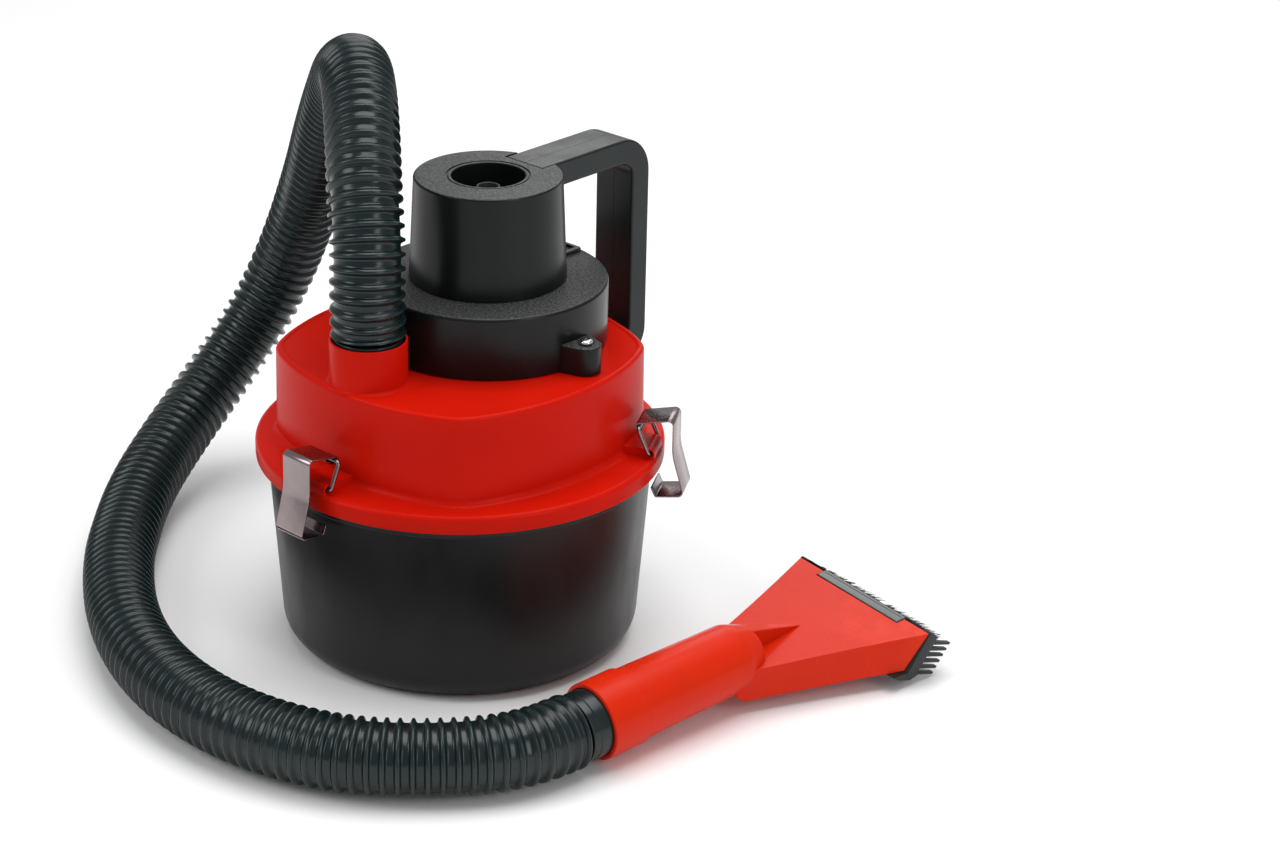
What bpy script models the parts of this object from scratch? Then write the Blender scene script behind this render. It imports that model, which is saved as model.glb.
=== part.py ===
"""A small wet and dry vacuum: a round bucket, a lid with a motor head, and a hose with a flat nozzle.

Metres, +Z up. The origin is the middle of the bucket's base, on the floor. The object is built
left-right symmetric about X = 0: the hose port is at -Y and the carrying handle at +Y.
"""

import math

import bmesh
import bpy
from mathutils import Euler, Matrix, Vector

TAU = 2 * math.pi
GAP = 0.0003  # between parts that touch
FINE = 56  # sides of the large turned shapes
MEDIUM = 32
SMALL = 12

# Bucket
BASE_RADIUS = 0.075
BUCKET_WALL = 0.0022
LEDGE_RADIUS = 0.0964
LEDGE_Z = 0.0910
RIM_Z = 0.0995

# Lid
FLANGE_RADIUS = 0.100
SKIRT_Z = 0.0950
FLANGE_Z = 0.1041
LID_TOP_Z = 0.149
LID_WALL = 0.0022
SIDE_ARC_RADIUS = 0.1303  # the lid's four bowed sides
SIDE_ARC_OFFSET = 0.0493
CORNER_SOFTENING = math.radians(3.0)

# Hose port, on the lid's front
PORT_Y = -0.0606
PORT_RADIUS = 0.0187
PORT_BORE = 0.0172
PORT_TOP_Z = 0.170
PORT_SPIGOT_Z = 0.122

# Motor axis, and what is turned about it
MOTOR_Y = 0.019
DRUM_RADIUS = 0.0584
DRUM_TOP_Z = 0.180
CAP_BASE_RADIUS = 0.0382
CAP_TOP_RADIUS = 0.0359
CAP_TOP_Z = 0.231
OUTLET_RADIUS = 0.0178
HEAD_OPENING_RADIUS = 0.050
EAR_X = 0.0650
EAR_RADIUS = 0.0075
EAR_TOP_Z = 0.163
MOTOR_RADIUS = 0.019
BOSS_RADIUS = 0.0059  # the motor's bearing boss, seen down the outlet
BOSS_TOP_Z = 0.2254
SHAFT_RADIUS = 0.0016
FAN_SCREW_CIRCLE = 0.0525
FAN_SCREW_ANGLES = [math.radians(a) for a in (30, 150, 270)]
EYE_RADIUS = 0.017
CAGE_RADIUS = 0.034
CAGE_BASE_Z = 0.062
BALL_RADIUS = 0.019
GLAND_AZIMUTH = math.radians(118)
GLAND_Z = 0.168
SWITCH_Y = 0.0683
SWITCH_TILT = math.radians(8)

# Carrying handle: a bar, a post and a foot, in two half shells
HANDLE_HALF_WIDTH = 0.0125
BAR_THICKNESS = 0.0125
HANDLE_BACK_Y = 0.121
HANDLE_INNER_Y = 0.0435
FOOT_Z = 0.112
FOOT_Y = 0.0816
HANDLE_WALL = 0.0022
HANDLE_SCREWS = [(0.078, 0.22475), (0.11475, 0.205), (0.11475, 0.150)]
FOOT_SCREW_X = 0.0065

# Holes for self-tapping screws
SCREW_HOLE = 0.0019
HOLE_SIDES = 8

# Latches: a wire bail pinned in a lug, and a bent steel strap
LATCH_ANGLES = [math.radians(a) for a in (270, 30, 150)]
BAIL_FOOT_RADIUS = 0.0965
BAIL_FOOT_Z = 0.1063
CROSSBAR_RADIUS = 0.091
CROSSBAR_Z = 0.1195
WIRE_RADIUS = 0.001
BAIL_HALF_WIDTH = 0.0113
STRAP_WIDTH = 0.018
STRAP_THICKNESS = 0.0008

# Hose and nozzle
HOSE_RADIUS = 0.0181
CUFF_RADIUS = 0.0166
CUFF_BORE = 0.0140
HOSE_END_GAP = 0.0014  # the hose leaves each cuff at a slight slant
NOZZLE_RIM = Vector((0.1411, -0.0564, 0.0191))
NOZZLE_YAW = math.radians(83.3)
NOZZLE_PITCH = math.radians(3.0)
NOZZLE_ROLL = math.radians(4.3)
CUFF_SHOWING = 0.011
CUFF_INSIDE = 0.018
HEAD_TOP = 0.0009  # the flat head, above the tube's axis
HEAD_BOTTOM = -0.0157
HEAD_BACK_X = 0.086
HEAD_BACK_HALF_WIDTH = 0.0150
MOUTH_TOP_X = 0.1755
MOUTH_BOTTOM_X = 0.1620
MOUTH_HALF_WIDTH = 0.0442
MOUTH_BOTTOM_TAPER = 0.963
NOZZLE_WALL = 0.0022
MOUTH_SLANT = math.atan2(MOUTH_TOP_X - MOUTH_BOTTOM_X, HEAD_TOP - HEAD_BOTTOM)

# Brush insert, in the slanted mouth's own frame
INSERT_DEPTH = 0.0070
INSERT_HALF_WIDTH = 0.0448
INSERT_HALF_HEIGHT = 0.0119
COMB_FINGERS = 6
COMB_PITCH = 0.0033
COMB_ROOT = 0.0085
COMB_TIP = 0.0200
COMB_LEAN = 0.0035
TAB_HALF_WIDTH = 0.0275
TAB_BACK_X = 0.1706
TAB_FRONT_X = 0.1769

HOSE_ROUTE = [
    (0.0, -0.0606, 0.1725),
    (-0.001, -0.060, 0.192),
    (-0.005, -0.056, 0.214),
    (-0.016, -0.047, 0.2385),
    (-0.033, -0.032, 0.2575),
    (-0.054, -0.014, 0.268),
    (-0.076, 0.004, 0.2685),
    (-0.098, 0.020, 0.259),
    (-0.118, 0.034, 0.2435),
    (-0.137, 0.046, 0.2245),
    (-0.155, 0.057, 0.204),
    (-0.171, 0.066, 0.1825),
    (-0.1855, 0.072, 0.160),
    (-0.198, 0.074, 0.136),
    (-0.208, 0.071, 0.112),
    (-0.215, 0.0615, 0.089),
    (-0.2195, 0.046, 0.068),
    (-0.2205, 0.027, 0.051),
    (-0.2175, 0.007, 0.0385),
    (-0.210, -0.014, 0.030),
    (-0.1995, -0.035, 0.024),
    (-0.1855, -0.0555, 0.0205),
    (-0.168, -0.076, 0.019),
    (-0.148, -0.097, 0.0185),
    (-0.125, -0.117, 0.0185),
    (-0.099, -0.136, 0.0185),
    (-0.071, -0.152, 0.0185),
    (-0.041, -0.164, 0.0185),
    (-0.009, -0.171, 0.0185),
    (0.024, -0.172, 0.0185),
    (0.056, -0.166, 0.0185),
    (0.085, -0.153, 0.0185),
    (0.109, -0.133, 0.0185),
    (0.1275, -0.110, 0.0185),
    (0.1365, -0.089, 0.0185),
    (0.1396, -0.0689, 0.0185),
]

MATERIALS = {
    "bucket_black": ((0.018, 0.018, 0.018), 0.55, 0.0),
    "lid_red": ((0.62, 0.012, 0.006), 0.28, 0.0),
    "housing_black": ((0.022, 0.024, 0.024), 0.42, 0.0),
    "handle_black": ((0.016, 0.017, 0.017), 0.30, 0.0),
    "switch_black": ((0.05, 0.05, 0.05), 0.35, 0.0),
    "hose_black": ((0.014, 0.020, 0.022), 0.38, 0.0),
    "nozzle_red": ((0.74, 0.03, 0.012), 0.25, 0.0),
    "insert_black": ((0.012, 0.018, 0.018), 0.5, 0.0),
    "bristle_black": ((0.01, 0.01, 0.01), 0.8, 0.0),
    "tab_grey": ((0.20, 0.21, 0.21), 0.45, 0.0),
    "latch_steel": ((0.56, 0.52, 0.52), 0.30, 1.0),
    "screw_steel": ((0.66, 0.66, 0.66), 0.25, 1.0),
    "motor_steel": ((0.45, 0.46, 0.47), 0.40, 1.0),
    "internal_plastic": ((0.05, 0.05, 0.05), 0.5, 0.0),
    "fan_plastic": ((0.55, 0.55, 0.53), 0.5, 0.0),
    "filter_foam": ((0.06, 0.06, 0.065), 0.95, 0.0),
    "float_white": ((0.75, 0.75, 0.72), 0.4, 0.0),
    "bronze": ((0.45, 0.28, 0.10), 0.45, 1.0),
    "rubber": ((0.02, 0.02, 0.02), 0.8, 0.0),
}


def clear_scene():
    for obj in list(bpy.data.objects):
        bpy.data.objects.remove(obj)


def make_materials():
    for name, (colour, roughness, metallic) in MATERIALS.items():
        mat = bpy.data.materials.new(name)
        mat.use_nodes = True
        shader = mat.node_tree.nodes["Principled BSDF"]
        shader.inputs["Base Color"].default_value = (*colour, 1.0)
        shader.inputs["Roughness"].default_value = roughness
        shader.inputs["Metallic"].default_value = metallic


# ---------------------------------------------------------------- shape helpers


def place(name, bm, material, location=(0, 0, 0), rotation=(0, 0, 0), parent=None):
    bmesh.ops.recalc_face_normals(bm, faces=bm.faces)
    mesh = bpy.data.meshes.new(name)
    bm.to_mesh(mesh)
    bm.free()
    mesh.shade_smooth()
    mesh.set_sharp_from_angle(angle=math.radians(35))
    obj = bpy.data.objects.new(name, mesh)
    bpy.context.scene.collection.objects.link(obj)
    obj.location = location
    obj.rotation_euler = rotation
    obj.parent = parent
    if material:
        mesh.materials.append(bpy.data.materials[material])
    return obj


def turned(profile, sides, ring=True):
    """A profile of (radius, height) points spun about Z. A ring's profile is closed on itself."""
    bm = bmesh.new()
    verts = [bm.verts.new((r, 0, z)) for r, z in profile]
    pairs = list(zip(verts, verts[1:]))
    if ring:
        pairs.append((verts[-1], verts[0]))
    edges = [bm.edges.new(pair) for pair in pairs]
    bmesh.ops.spin(
        bm,
        geom=verts + edges,
        cent=(0, 0, 0),
        axis=(0, 0, 1),
        angle=TAU,
        steps=sides,
        use_merge=True,
    )
    bmesh.ops.remove_doubles(bm, verts=bm.verts, dist=1e-6)
    return bm


def prism(outline, low, high):
    """An outline of (x, y) points raised from z = low to z = high."""
    bm = bmesh.new()
    face = bm.faces.new([bm.verts.new((x, y, low)) for x, y in outline])
    raised = bmesh.ops.extrude_face_region(bm, geom=[face])["geom"]
    tops = [v for v in raised if isinstance(v, bmesh.types.BMVert)]
    bmesh.ops.translate(bm, verts=tops, vec=(0, 0, high - low))
    return bm


def box(low, high):
    outline = [(low[0], low[1]), (high[0], low[1]), (high[0], high[1]), (low[0], high[1])]
    return prism(outline, low[2], high[2])


def cylinder(radius, low, high, sides=SMALL):
    return turned([(0, low), (radius, low), (radius, high), (0, high)], sides, ring=False)


def moved(bm, matrix):
    bmesh.ops.transform(bm, matrix=matrix, verts=bm.verts)
    return bm


def joined(*parts):
    """Several shapes in one mesh, still separate bodies."""
    whole = bmesh.new()
    for part in parts:
        mesh = bpy.data.meshes.new("joined")
        bmesh.ops.recalc_face_normals(part, faces=part.faces)
        part.to_mesh(mesh)
        part.free()
        whole.from_mesh(mesh)
        bpy.data.meshes.remove(mesh)
    return whole


def filleted(corners, steps=5):
    """An outline from (x, y, radius) corners, each rounded by its own radius."""
    points = []
    count = len(corners)
    for i, (x, y, radius) in enumerate(corners):
        here = Vector((x, y))
        if radius <= 0:
            points.append((x, y))
            continue
        before = (Vector(corners[i - 1][:2]) - here).normalized()
        after = (Vector(corners[(i + 1) % count][:2]) - here).normalized()
        half = before.angle(after) / 2
        middle = here + (before + after).normalized() * (radius / math.sin(half))
        start = here + before * (radius / math.tan(half)) - middle
        end = here + after * (radius / math.tan(half)) - middle
        turn = start.angle_signed(end)
        for k in range(steps + 1):
            a = -turn * k / steps
            c, s = math.cos(a), math.sin(a)
            points.append((middle.x + start.x * c - start.y * s, middle.y + start.x * s + start.y * c))
    return points


def ribbon(path, thickness):
    """The outline of a strip that follows a path of (x, y) points."""
    left, right = [], []
    for i, point in enumerate(path):
        before = Vector(path[max(i - 1, 0)])
        after = Vector(path[min(i + 1, len(path) - 1)])
        along = (after - before).normalized()
        side = Vector((-along.y, along.x)) * (thickness / 2)
        left.append(tuple(Vector(point) + side))
        right.append(tuple(Vector(point) - side))
    return left + right[::-1]


def modify(obj, other_bm, operation, location=(0, 0, 0), rotation=(0, 0, 0)):
    """Cuts a shape from an object, or adds it. The shape is in world space unless it is placed."""
    helper = place(f"{obj.name}_helper", other_bm, None, location, rotation)
    helper.hide_render = True
    helper.hide_viewport = False
    helper.display_type = "WIRE"
    modifier = obj.modifiers.new(operation.lower(), "BOOLEAN")
    modifier.operation = operation
    modifier.solver = "EXACT"
    modifier.object = helper


def cut(obj, other_bm, **at):
    modify(obj, other_bm, "DIFFERENCE", **at)


def add(obj, other_bm, **at):
    modify(obj, other_bm, "UNION", **at)


def about_motor(z=0.0):
    return (0, MOTOR_Y, z)


def screw_hole(low, high, at):
    return moved(cylinder(SCREW_HOLE, low, high, HOLE_SIDES), at)


def polar(radius, angle):
    """A shift from the motor's axis."""
    return Matrix.Translation((radius * math.cos(angle), MOTOR_Y + radius * math.sin(angle), 0))


def screw(name, location, rotation, length, shaft=0.0016, head=0.0033, head_height=0.002):
    """A cross-head pan screw. Its local origin is under the head and its shank points to -Z."""
    profile = [
        (0, -length),
        (shaft, -length + shaft),
        (shaft, 0),
        (head, 0),
        (head, head_height * 0.45),
        (head * 0.7, head_height),
        (0, head_height),
    ]
    return place(name, turned(profile, SMALL, ring=False), "screw_steel", location, rotation)


# ---------------------------------------------------------------- bucket and lid


def make_bucket():
    profile = [
        (0, 0),
        (BASE_RADIUS, 0),
        (0.0800, 0.0012),
        (0.0843, 0.0046),
        (0.0870, 0.0090),
        (0.0884, 0.0145),
        (0.0916, 0.0600),
        (0.0937, LEDGE_Z - 0.0008),
        (LEDGE_RADIUS, LEDGE_Z),
        (LEDGE_RADIUS, RIM_Z),
        (0.0921, RIM_Z),
        (0.0937 - BUCKET_WALL, LEDGE_Z - 0.0008),
        (0.0916 - BUCKET_WALL, 0.0600),
        (0.0884 - BUCKET_WALL, 0.0150),
        (0.0835, 0.0070),
        (BASE_RADIUS, 0.0026),
        (0, 0.0024),
    ]
    return place("bucket", turned(profile, FINE, ring=False), "bucket_black")


def lid_side_radius(angle):
    """How far the lid's wall is from the axis: four bowed sides with softened corners."""
    quarter = TAU / 4
    off_middle = abs((angle + quarter / 2) % quarter - quarter / 2)
    off_corner = math.hypot(quarter / 2 - off_middle, CORNER_SOFTENING)
    swing = quarter / 2 - off_corner
    reach = SIDE_ARC_RADIUS**2 - (SIDE_ARC_OFFSET * math.sin(swing)) ** 2
    return math.sqrt(reach) - SIDE_ARC_OFFSET * math.cos(swing)


def ring_points(height, radius=None, inset=0.0):
    """One ring of the lid: a circle, or the wall's outline moved in by inset."""
    points = []
    for k in range(FINE):
        angle = TAU * k / FINE
        r = radius if radius else lid_side_radius(angle) - inset
        points.append((r * math.cos(angle), r * math.sin(angle), height))
    return points


def lofted(rings):
    """A closed body through rings of points, capped at both ends."""
    bm = bmesh.new()
    loops = [[bm.verts.new(p) for p in ring] for ring in rings]
    for lower, upper in zip(loops, loops[1:]):
        for k in range(len(lower)):
            n = (k + 1) % len(lower)
            bm.faces.new((lower[k], lower[n], upper[n], upper[k]))
    bm.faces.new(loops[0])
    bm.faces.new(loops[-1])
    return bm


def fan_screw_holes(low, high):
    return joined(*[screw_hole(low, high, polar(FAN_SCREW_CIRCLE, a)) for a in FAN_SCREW_ANGLES])


def ear_screw_holes(low, high):
    spots = [Matrix.Translation((side * EAR_X, MOTOR_Y, 0)) for side in (-1, 1)]
    return joined(*[screw_hole(low, high, at) for at in spots])


def foot_screw_holes(low, high):
    to_back = Matrix.Rotation(-TAU / 4, 4, "X")
    spots = [Matrix.Translation((side * FOOT_SCREW_X, 0, FOOT_Z + 0.0065)) for side in (-1, 1)]
    return joined(*[screw_hole(low, high, at @ to_back) for at in spots])


def latch_lug():
    """The block that a latch's wire is pinned in, at the latch on +X."""
    corners = [(0.0800, 0.1030, 0), (0.0990, 0.1030, 0), (0.0990, 0.1089, 0.0026), (0.0800, 0.1089, 0)]
    return moved(prism(filleted(corners), -0.0093, 0.0093), Matrix.Rotation(TAU / 4, 4, "X"))


def pin_hole():
    hole = cylinder(0.00128, -0.02, 0.02, HOLE_SIDES)
    at = Matrix.Translation((BAIL_FOOT_RADIUS, 0, BAIL_FOOT_Z))
    return moved(hole, at @ Matrix.Rotation(TAU / 4, 4, "X"))


def at_latches(make):
    return joined(*[moved(make(), Matrix.Rotation(a, 4, "Z")) for a in LATCH_ANGLES])


def make_lid():
    rings = [
        ring_points(SKIRT_Z, radius=0.0974),
        ring_points(SKIRT_Z, radius=FLANGE_RADIUS),
        ring_points(0.1016, radius=FLANGE_RADIUS),
        ring_points(0.1034, radius=0.0990),
        ring_points(FLANGE_Z, radius=0.0970),
        ring_points(0.1047, inset=-0.0020),
        ring_points(0.1059, inset=-0.0006),
        ring_points(0.1080),
        ring_points(LID_TOP_Z - 0.0016, inset=0.0004),
        ring_points(LID_TOP_Z, inset=0.0018),
    ]
    lid = place("lid", lofted(rings), "lid_red")
    ceiling = [
        ring_points(SKIRT_Z - 0.001, radius=0.0974),
        ring_points(0.1018, radius=0.0974),
    ]
    dome = [
        ring_points(0.1000, inset=LID_WALL),
        ring_points(LID_TOP_Z - LID_WALL, inset=LID_WALL + 0.0004),
    ]
    cut(lid, lofted(ceiling))
    cut(lid, lofted(dome))
    add(lid, at_latches(latch_lug))
    cut(lid, lofted(dome))
    opening = cylinder(HEAD_OPENING_RADIUS, LID_TOP_Z - 0.01, LID_TOP_Z + 0.01, 40)
    cut(lid, moved(opening, Matrix.Translation(about_motor())))
    low, high = LID_TOP_Z - 0.01, LID_TOP_Z + 0.01
    holes = [fan_screw_holes(low, high), ear_screw_holes(low, high), foot_screw_holes(0.070, 0.095)]
    cut(lid, joined(at_latches(pin_hole), *holes))
    port = Matrix.Translation((0, PORT_Y, 0))
    add(lid, moved(cylinder(PORT_RADIUS, PORT_SPIGOT_Z, PORT_TOP_Z, MEDIUM), port))
    cut(lid, moved(cylinder(PORT_BORE, PORT_SPIGOT_Z - 0.01, PORT_TOP_Z + 0.01, MEDIUM), port))


def make_gasket():
    low, high = RIM_Z + GAP, 0.1018 - GAP
    profile = [(0.0926, low), (0.0960, low), (0.0960, high), (0.0926, high)]
    place("lid_gasket", turned(profile, FINE), "rubber")


def make_inlet_deflector():
    inner, outer = PORT_RADIUS + GAP, PORT_RADIUS + 0.0021
    arc = [math.radians(15 + 10 * k) for k in range(16)]
    outline = [(outer * math.cos(a), outer * math.sin(a)) for a in arc]
    outline += [(inner * math.cos(a), inner * math.sin(a)) for a in reversed(arc)]
    place("inlet_deflector", prism(outline, 0.092, 0.140), "internal_plastic", (0, PORT_Y, 0))


# ---------------------------------------------------------------- motor head


def make_motor_housing():
    top, wall = DRUM_TOP_Z, 0.0022
    profile = [
        (DRUM_RADIUS, LID_TOP_Z + GAP),
        (DRUM_RADIUS, top - 0.0014),
        (DRUM_RADIUS - 0.0014, top),
        (0.0335, top),
        (0.0335, top - wall),
        (DRUM_RADIUS - wall, top - wall),
        (DRUM_RADIUS - wall, LID_TOP_Z + GAP),
    ]
    drum = place("motor_housing", turned(profile, FINE), "housing_black", about_motor())
    ears = []
    for side in (-1, 1):
        lobe = cylinder(EAR_RADIUS, LID_TOP_Z + GAP, EAR_TOP_Z, 20)
        ears.append(moved(lobe, Matrix.Translation((side * EAR_X, MOTOR_Y, 0))))
        inner, outer = sorted((side * (DRUM_RADIUS - 0.0015), side * EAR_X))
        low = (inner, MOTOR_Y - EAR_RADIUS, LID_TOP_Z + GAP)
        add(drum, box(low, (outer, MOTOR_Y + EAR_RADIUS, EAR_TOP_Z)))
    add(drum, joined(*ears))
    cut(drum, ear_screw_holes(LID_TOP_Z - 0.01, EAR_TOP_Z + 0.01))
    window = box((-0.0086, SWITCH_Y - 0.0054, top - 0.01), (0.0086, SWITCH_Y + 0.0054, top + 0.01))
    cut(drum, window)
    gland_hole = cylinder(0.0042, 0.04, 0.07)
    cut(drum, gland_hole, location=about_motor(GLAND_Z), rotation=(0, TAU / 4, GLAND_AZIMUTH))
    for side, name in ((-1, "left"), (1, "right")):
        screw(f"housing_screw_{name}", (side * EAR_X, MOTOR_Y, EAR_TOP_Z + GAP), (0, 0, 0), 0.020)


def make_cord_gland():
    profile = [
        (0.0020, 0.0540),
        (0.0039, 0.0540),
        (0.0039, DRUM_RADIUS + GAP),
        (0.0062, DRUM_RADIUS + GAP),
        (0.0062, DRUM_RADIUS + 0.0028),
        (0.0044, DRUM_RADIUS + 0.0034),
        (0.0036, DRUM_RADIUS + 0.0140),
        (0.0020, DRUM_RADIUS + 0.0140),
    ]
    turn = (0, TAU / 4, GLAND_AZIMUTH)
    place("cord_gland", turned(profile, 20), "rubber", about_motor(GLAND_Z), turn)


def make_top_cap():
    low = DRUM_TOP_Z + GAP
    wall = 0.0023
    profile = [
        (CAP_BASE_RADIUS, low),
        (CAP_BASE_RADIUS, low + 0.0016),
        (CAP_TOP_RADIUS, CAP_TOP_Z - 0.0012),
        (CAP_TOP_RADIUS - 0.0012, CAP_TOP_Z),
        (OUTLET_RADIUS, CAP_TOP_Z),
        (OUTLET_RADIUS, 0.2110),
        (OUTLET_RADIUS + 0.0018, 0.2110),
        (OUTLET_RADIUS + 0.0018, CAP_TOP_Z - wall),
        (CAP_TOP_RADIUS - wall, CAP_TOP_Z - wall),
        (CAP_BASE_RADIUS - wall, low + 0.0016),
        (CAP_BASE_RADIUS - wall, low),
    ]
    cap = place("top_cap", turned(profile, 44), "housing_black", about_motor())
    slot_x = HANDLE_HALF_WIDTH + GAP
    slot_z = CAP_TOP_Z - BAR_THICKNESS - GAP
    cut(cap, box((-slot_x, HANDLE_INNER_Y - GAP, slot_z), (slot_x, 0.060, CAP_TOP_Z + 0.001)))


def make_motor():
    can = [
        (0.0058, 0.1522),
        (MOTOR_RADIUS, 0.1522),
        (MOTOR_RADIUS, 0.2030),
        (MOTOR_RADIUS - 0.0012, 0.2030),
        (MOTOR_RADIUS - 0.0012, 0.1536),
        (0.0058, 0.1536),
    ]
    place("motor_can", turned(can, 24), "motor_steel", about_motor())
    end_cap = [
        (0.0046, 0.2033),
        (MOTOR_RADIUS, 0.2033),
        (MOTOR_RADIUS, 0.2070),
        (0.0170, 0.2080),
        (BOSS_RADIUS, 0.2080),
        (BOSS_RADIUS, BOSS_TOP_Z),
        (0.0046, BOSS_TOP_Z),
    ]
    place("motor_end_cap", turned(end_cap, 24), "internal_plastic", about_motor())
    for name, radius, low, high in (
        ("motor_bush_lower", 0.0055, 0.1518, 0.1560),
        ("motor_bush_upper", 0.0043, 0.2045, 0.2120),
    ):
        bush = [(SHAFT_RADIUS + GAP, low), (radius, low), (radius, high), (SHAFT_RADIUS + GAP, high)]
        place(name, turned(bush, SMALL), "bronze", about_motor())
    plate = [(0.0068, 0.1493), (0.0550, 0.1493), (0.0550, 0.1515), (0.0068, 0.1515)]
    mount = place("motor_mount_plate", turned(plate, 40), "internal_plastic", about_motor())
    vents = [moved(cylinder(0.008, 0.14, 0.16), polar(0.034, TAU * k / 6)) for k in range(6)]
    cut(mount, joined(*vents))
    cut(mount, fan_screw_holes(0.14, 0.16))


def make_fan_cover():
    profile = [
        (EYE_RADIUS, 0.1100),
        (EYE_RADIUS + 0.0020, 0.1100),
        (EYE_RADIUS + 0.0020, 0.1160),
        (0.0480, 0.1160),
        (0.0490, 0.1170),
        (0.0490, 0.1445),
        (0.0560, 0.1445),
        (0.0560, 0.1465),
        (0.0470, 0.1465),
        (0.0470, 0.1180),
        (EYE_RADIUS, 0.1180),
    ]
    cover = place("fan_cover", turned(profile, 40), "internal_plastic", about_motor())
    cut(cover, fan_screw_holes(0.142, 0.15))
    for k, angle in enumerate(FAN_SCREW_ANGLES, 1):
        spot = polar(FAN_SCREW_CIRCLE, angle).translation
        screw(f"fan_cover_screw_{k}", (spot.x, spot.y, 0.1445 - GAP), (math.pi, 0, 0), 0.0085, head=0.0030)


def make_rotor():
    shaft = [(0, 0.1205), (0.0013, 0.1205), (SHAFT_RADIUS, 0.1215), (SHAFT_RADIUS, 0.2110), (0, 0.2110)]
    place("motor_shaft", turned(shaft, SMALL, ring=False), "motor_steel", about_motor())
    bore = SHAFT_RADIUS + GAP
    armature = [(bore, 0.160), (0.0145, 0.160), (0.0145, 0.194), (bore, 0.194)]
    place("motor_armature", turned(armature, 20), "motor_steel", about_motor())
    hub = [
        (bore, 0.1250),
        (0.0060, 0.1250),
        (0.0070, 0.1360),
        (0.0410, 0.1380),
        (0.0410, 0.1398),
        (bore, 0.1398),
    ]
    impeller = place("impeller", turned(hub, 32), "fan_plastic", about_motor())
    blades = []
    for k in range(8):
        turn = Matrix.Translation(about_motor()) @ Matrix.Rotation(TAU * k / 8, 4, "Z")
        lean = Matrix.Rotation(math.radians(20), 4, "Z")
        blade = box((0.0130, -0.0007, 0.1275), (0.0395, 0.0007, 0.1385))
        blades.append(moved(blade, turn @ lean))
    add(impeller, joined(*blades))
    nut = [
        (bore, 0.1216),
        (0.0036, 0.1216),
        (0.0036, 0.1247),
        (bore, 0.1247),
    ]
    place("impeller_nut", turned(nut, 6), "motor_steel", about_motor())


def make_filter():
    low, high = CAGE_BASE_Z, 0.1157
    floor, wall = 0.0025, 0.0022
    ring_low = high - 0.006
    profile = [
        (0.0040, low),
        (CAGE_RADIUS, low),
        (CAGE_RADIUS, high),
        (EYE_RADIUS + 0.0024, high),
        (EYE_RADIUS + 0.0024, high - 0.0022),
        (CAGE_RADIUS - wall, high - 0.0022),
        (CAGE_RADIUS - wall, low + floor),
        (0.0040, low + floor),
    ]
    cage = place("filter_cage", turned(profile, 32), "internal_plastic", about_motor())
    windows = []
    for k in range(3):
        turn = Matrix.Translation(about_motor()) @ Matrix.Rotation(TAU * k / 6 + TAU / 12, 4, "Z")
        slot = box((-0.05, -0.0095, low + 0.008), (0.05, 0.0095, ring_low - 0.004))
        windows.append(moved(slot, turn))
    for window in windows:
        cut(cage, window)
    inner, outer = CAGE_RADIUS + 0.0004, 0.0400
    sleeve = [(inner, low + 0.001), (outer, low + 0.001), (outer, 0.1145), (inner, 0.1145)]
    place("filter_sleeve", turned(sleeve, 32), "filter_foam", about_motor())
    end_cap = [
        (0, 0.0575),
        (0.0100, 0.0575),
        (0.0110, 0.0590),
        (0.0410, 0.0590),
        (0.0410, low - GAP),
        (0.0036, low - GAP),
        (0.0036, low + 0.0040),
        (0, low + 0.0040),
    ]
    place("filter_end_cap", turned(end_cap, 32, ring=False), "internal_plastic", about_motor())
    ball = bmesh.new()
    bmesh.ops.create_uvsphere(ball, u_segments=16, v_segments=10, radius=BALL_RADIUS)
    place("float_ball", ball, "float_white", about_motor(low + 0.0043 + BALL_RADIUS))


def make_switch():
    top = DRUM_TOP_Z
    middle = Matrix.Translation((0, SWITCH_Y, 0))
    flange = box((-0.0104, -0.0068, top + GAP), (0.0104, 0.0068, top + 0.0018))
    bezel = place("switch_bezel", moved(flange, middle), "insert_black")
    body = box((-0.0083, -0.0051, top - 0.0095), (0.0083, 0.0051, top + 0.0010))
    add(bezel, moved(body, middle))
    pocket = box((-0.0075, -0.0043, top - 0.0080), (0.0075, 0.0043, top + 0.0050))
    cut(bezel, moved(pocket, middle))
    half, thick = 0.0066, 0.0046
    side = [(-half, -thick), (half, -thick), (half, 0.0012), (0.0, -0.0001), (-half, 0.0012)]
    rocker = moved(prism(side, -0.0040, 0.0040), Matrix.Rotation(TAU / 4, 4, "X"))
    place("switch_rocker", rocker, "switch_black", (0, SWITCH_Y, top + 0.0009), (0, SWITCH_TILT, 0))


# ---------------------------------------------------------------- carrying handle


def handle_outline(inset):
    """The handle's side view as (y, z) corners with radii, moved in by inset."""
    top, back, low = CAP_TOP_Z - inset, HANDLE_BACK_Y - inset, FOOT_Z + inset
    under = CAP_TOP_Z - BAR_THICKNESS + inset
    front = HANDLE_BACK_Y - BAR_THICKNESS + inset
    foot_top = FOOT_Z + 0.013 - inset
    return filleted(
        [
            (HANDLE_INNER_Y + inset, top, 0),
            (back, top, 0.020 - inset),
            (back, low, 0.016 - inset),
            (FOOT_Y + inset, low, 0),
            (FOOT_Y + inset, foot_top, 0),
            (front, foot_top, 0.006 + inset),
            (front, under, 0.008 + inset),
            (HANDLE_INNER_Y + inset, under, 0),
        ],
        steps=6,
    )


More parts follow.
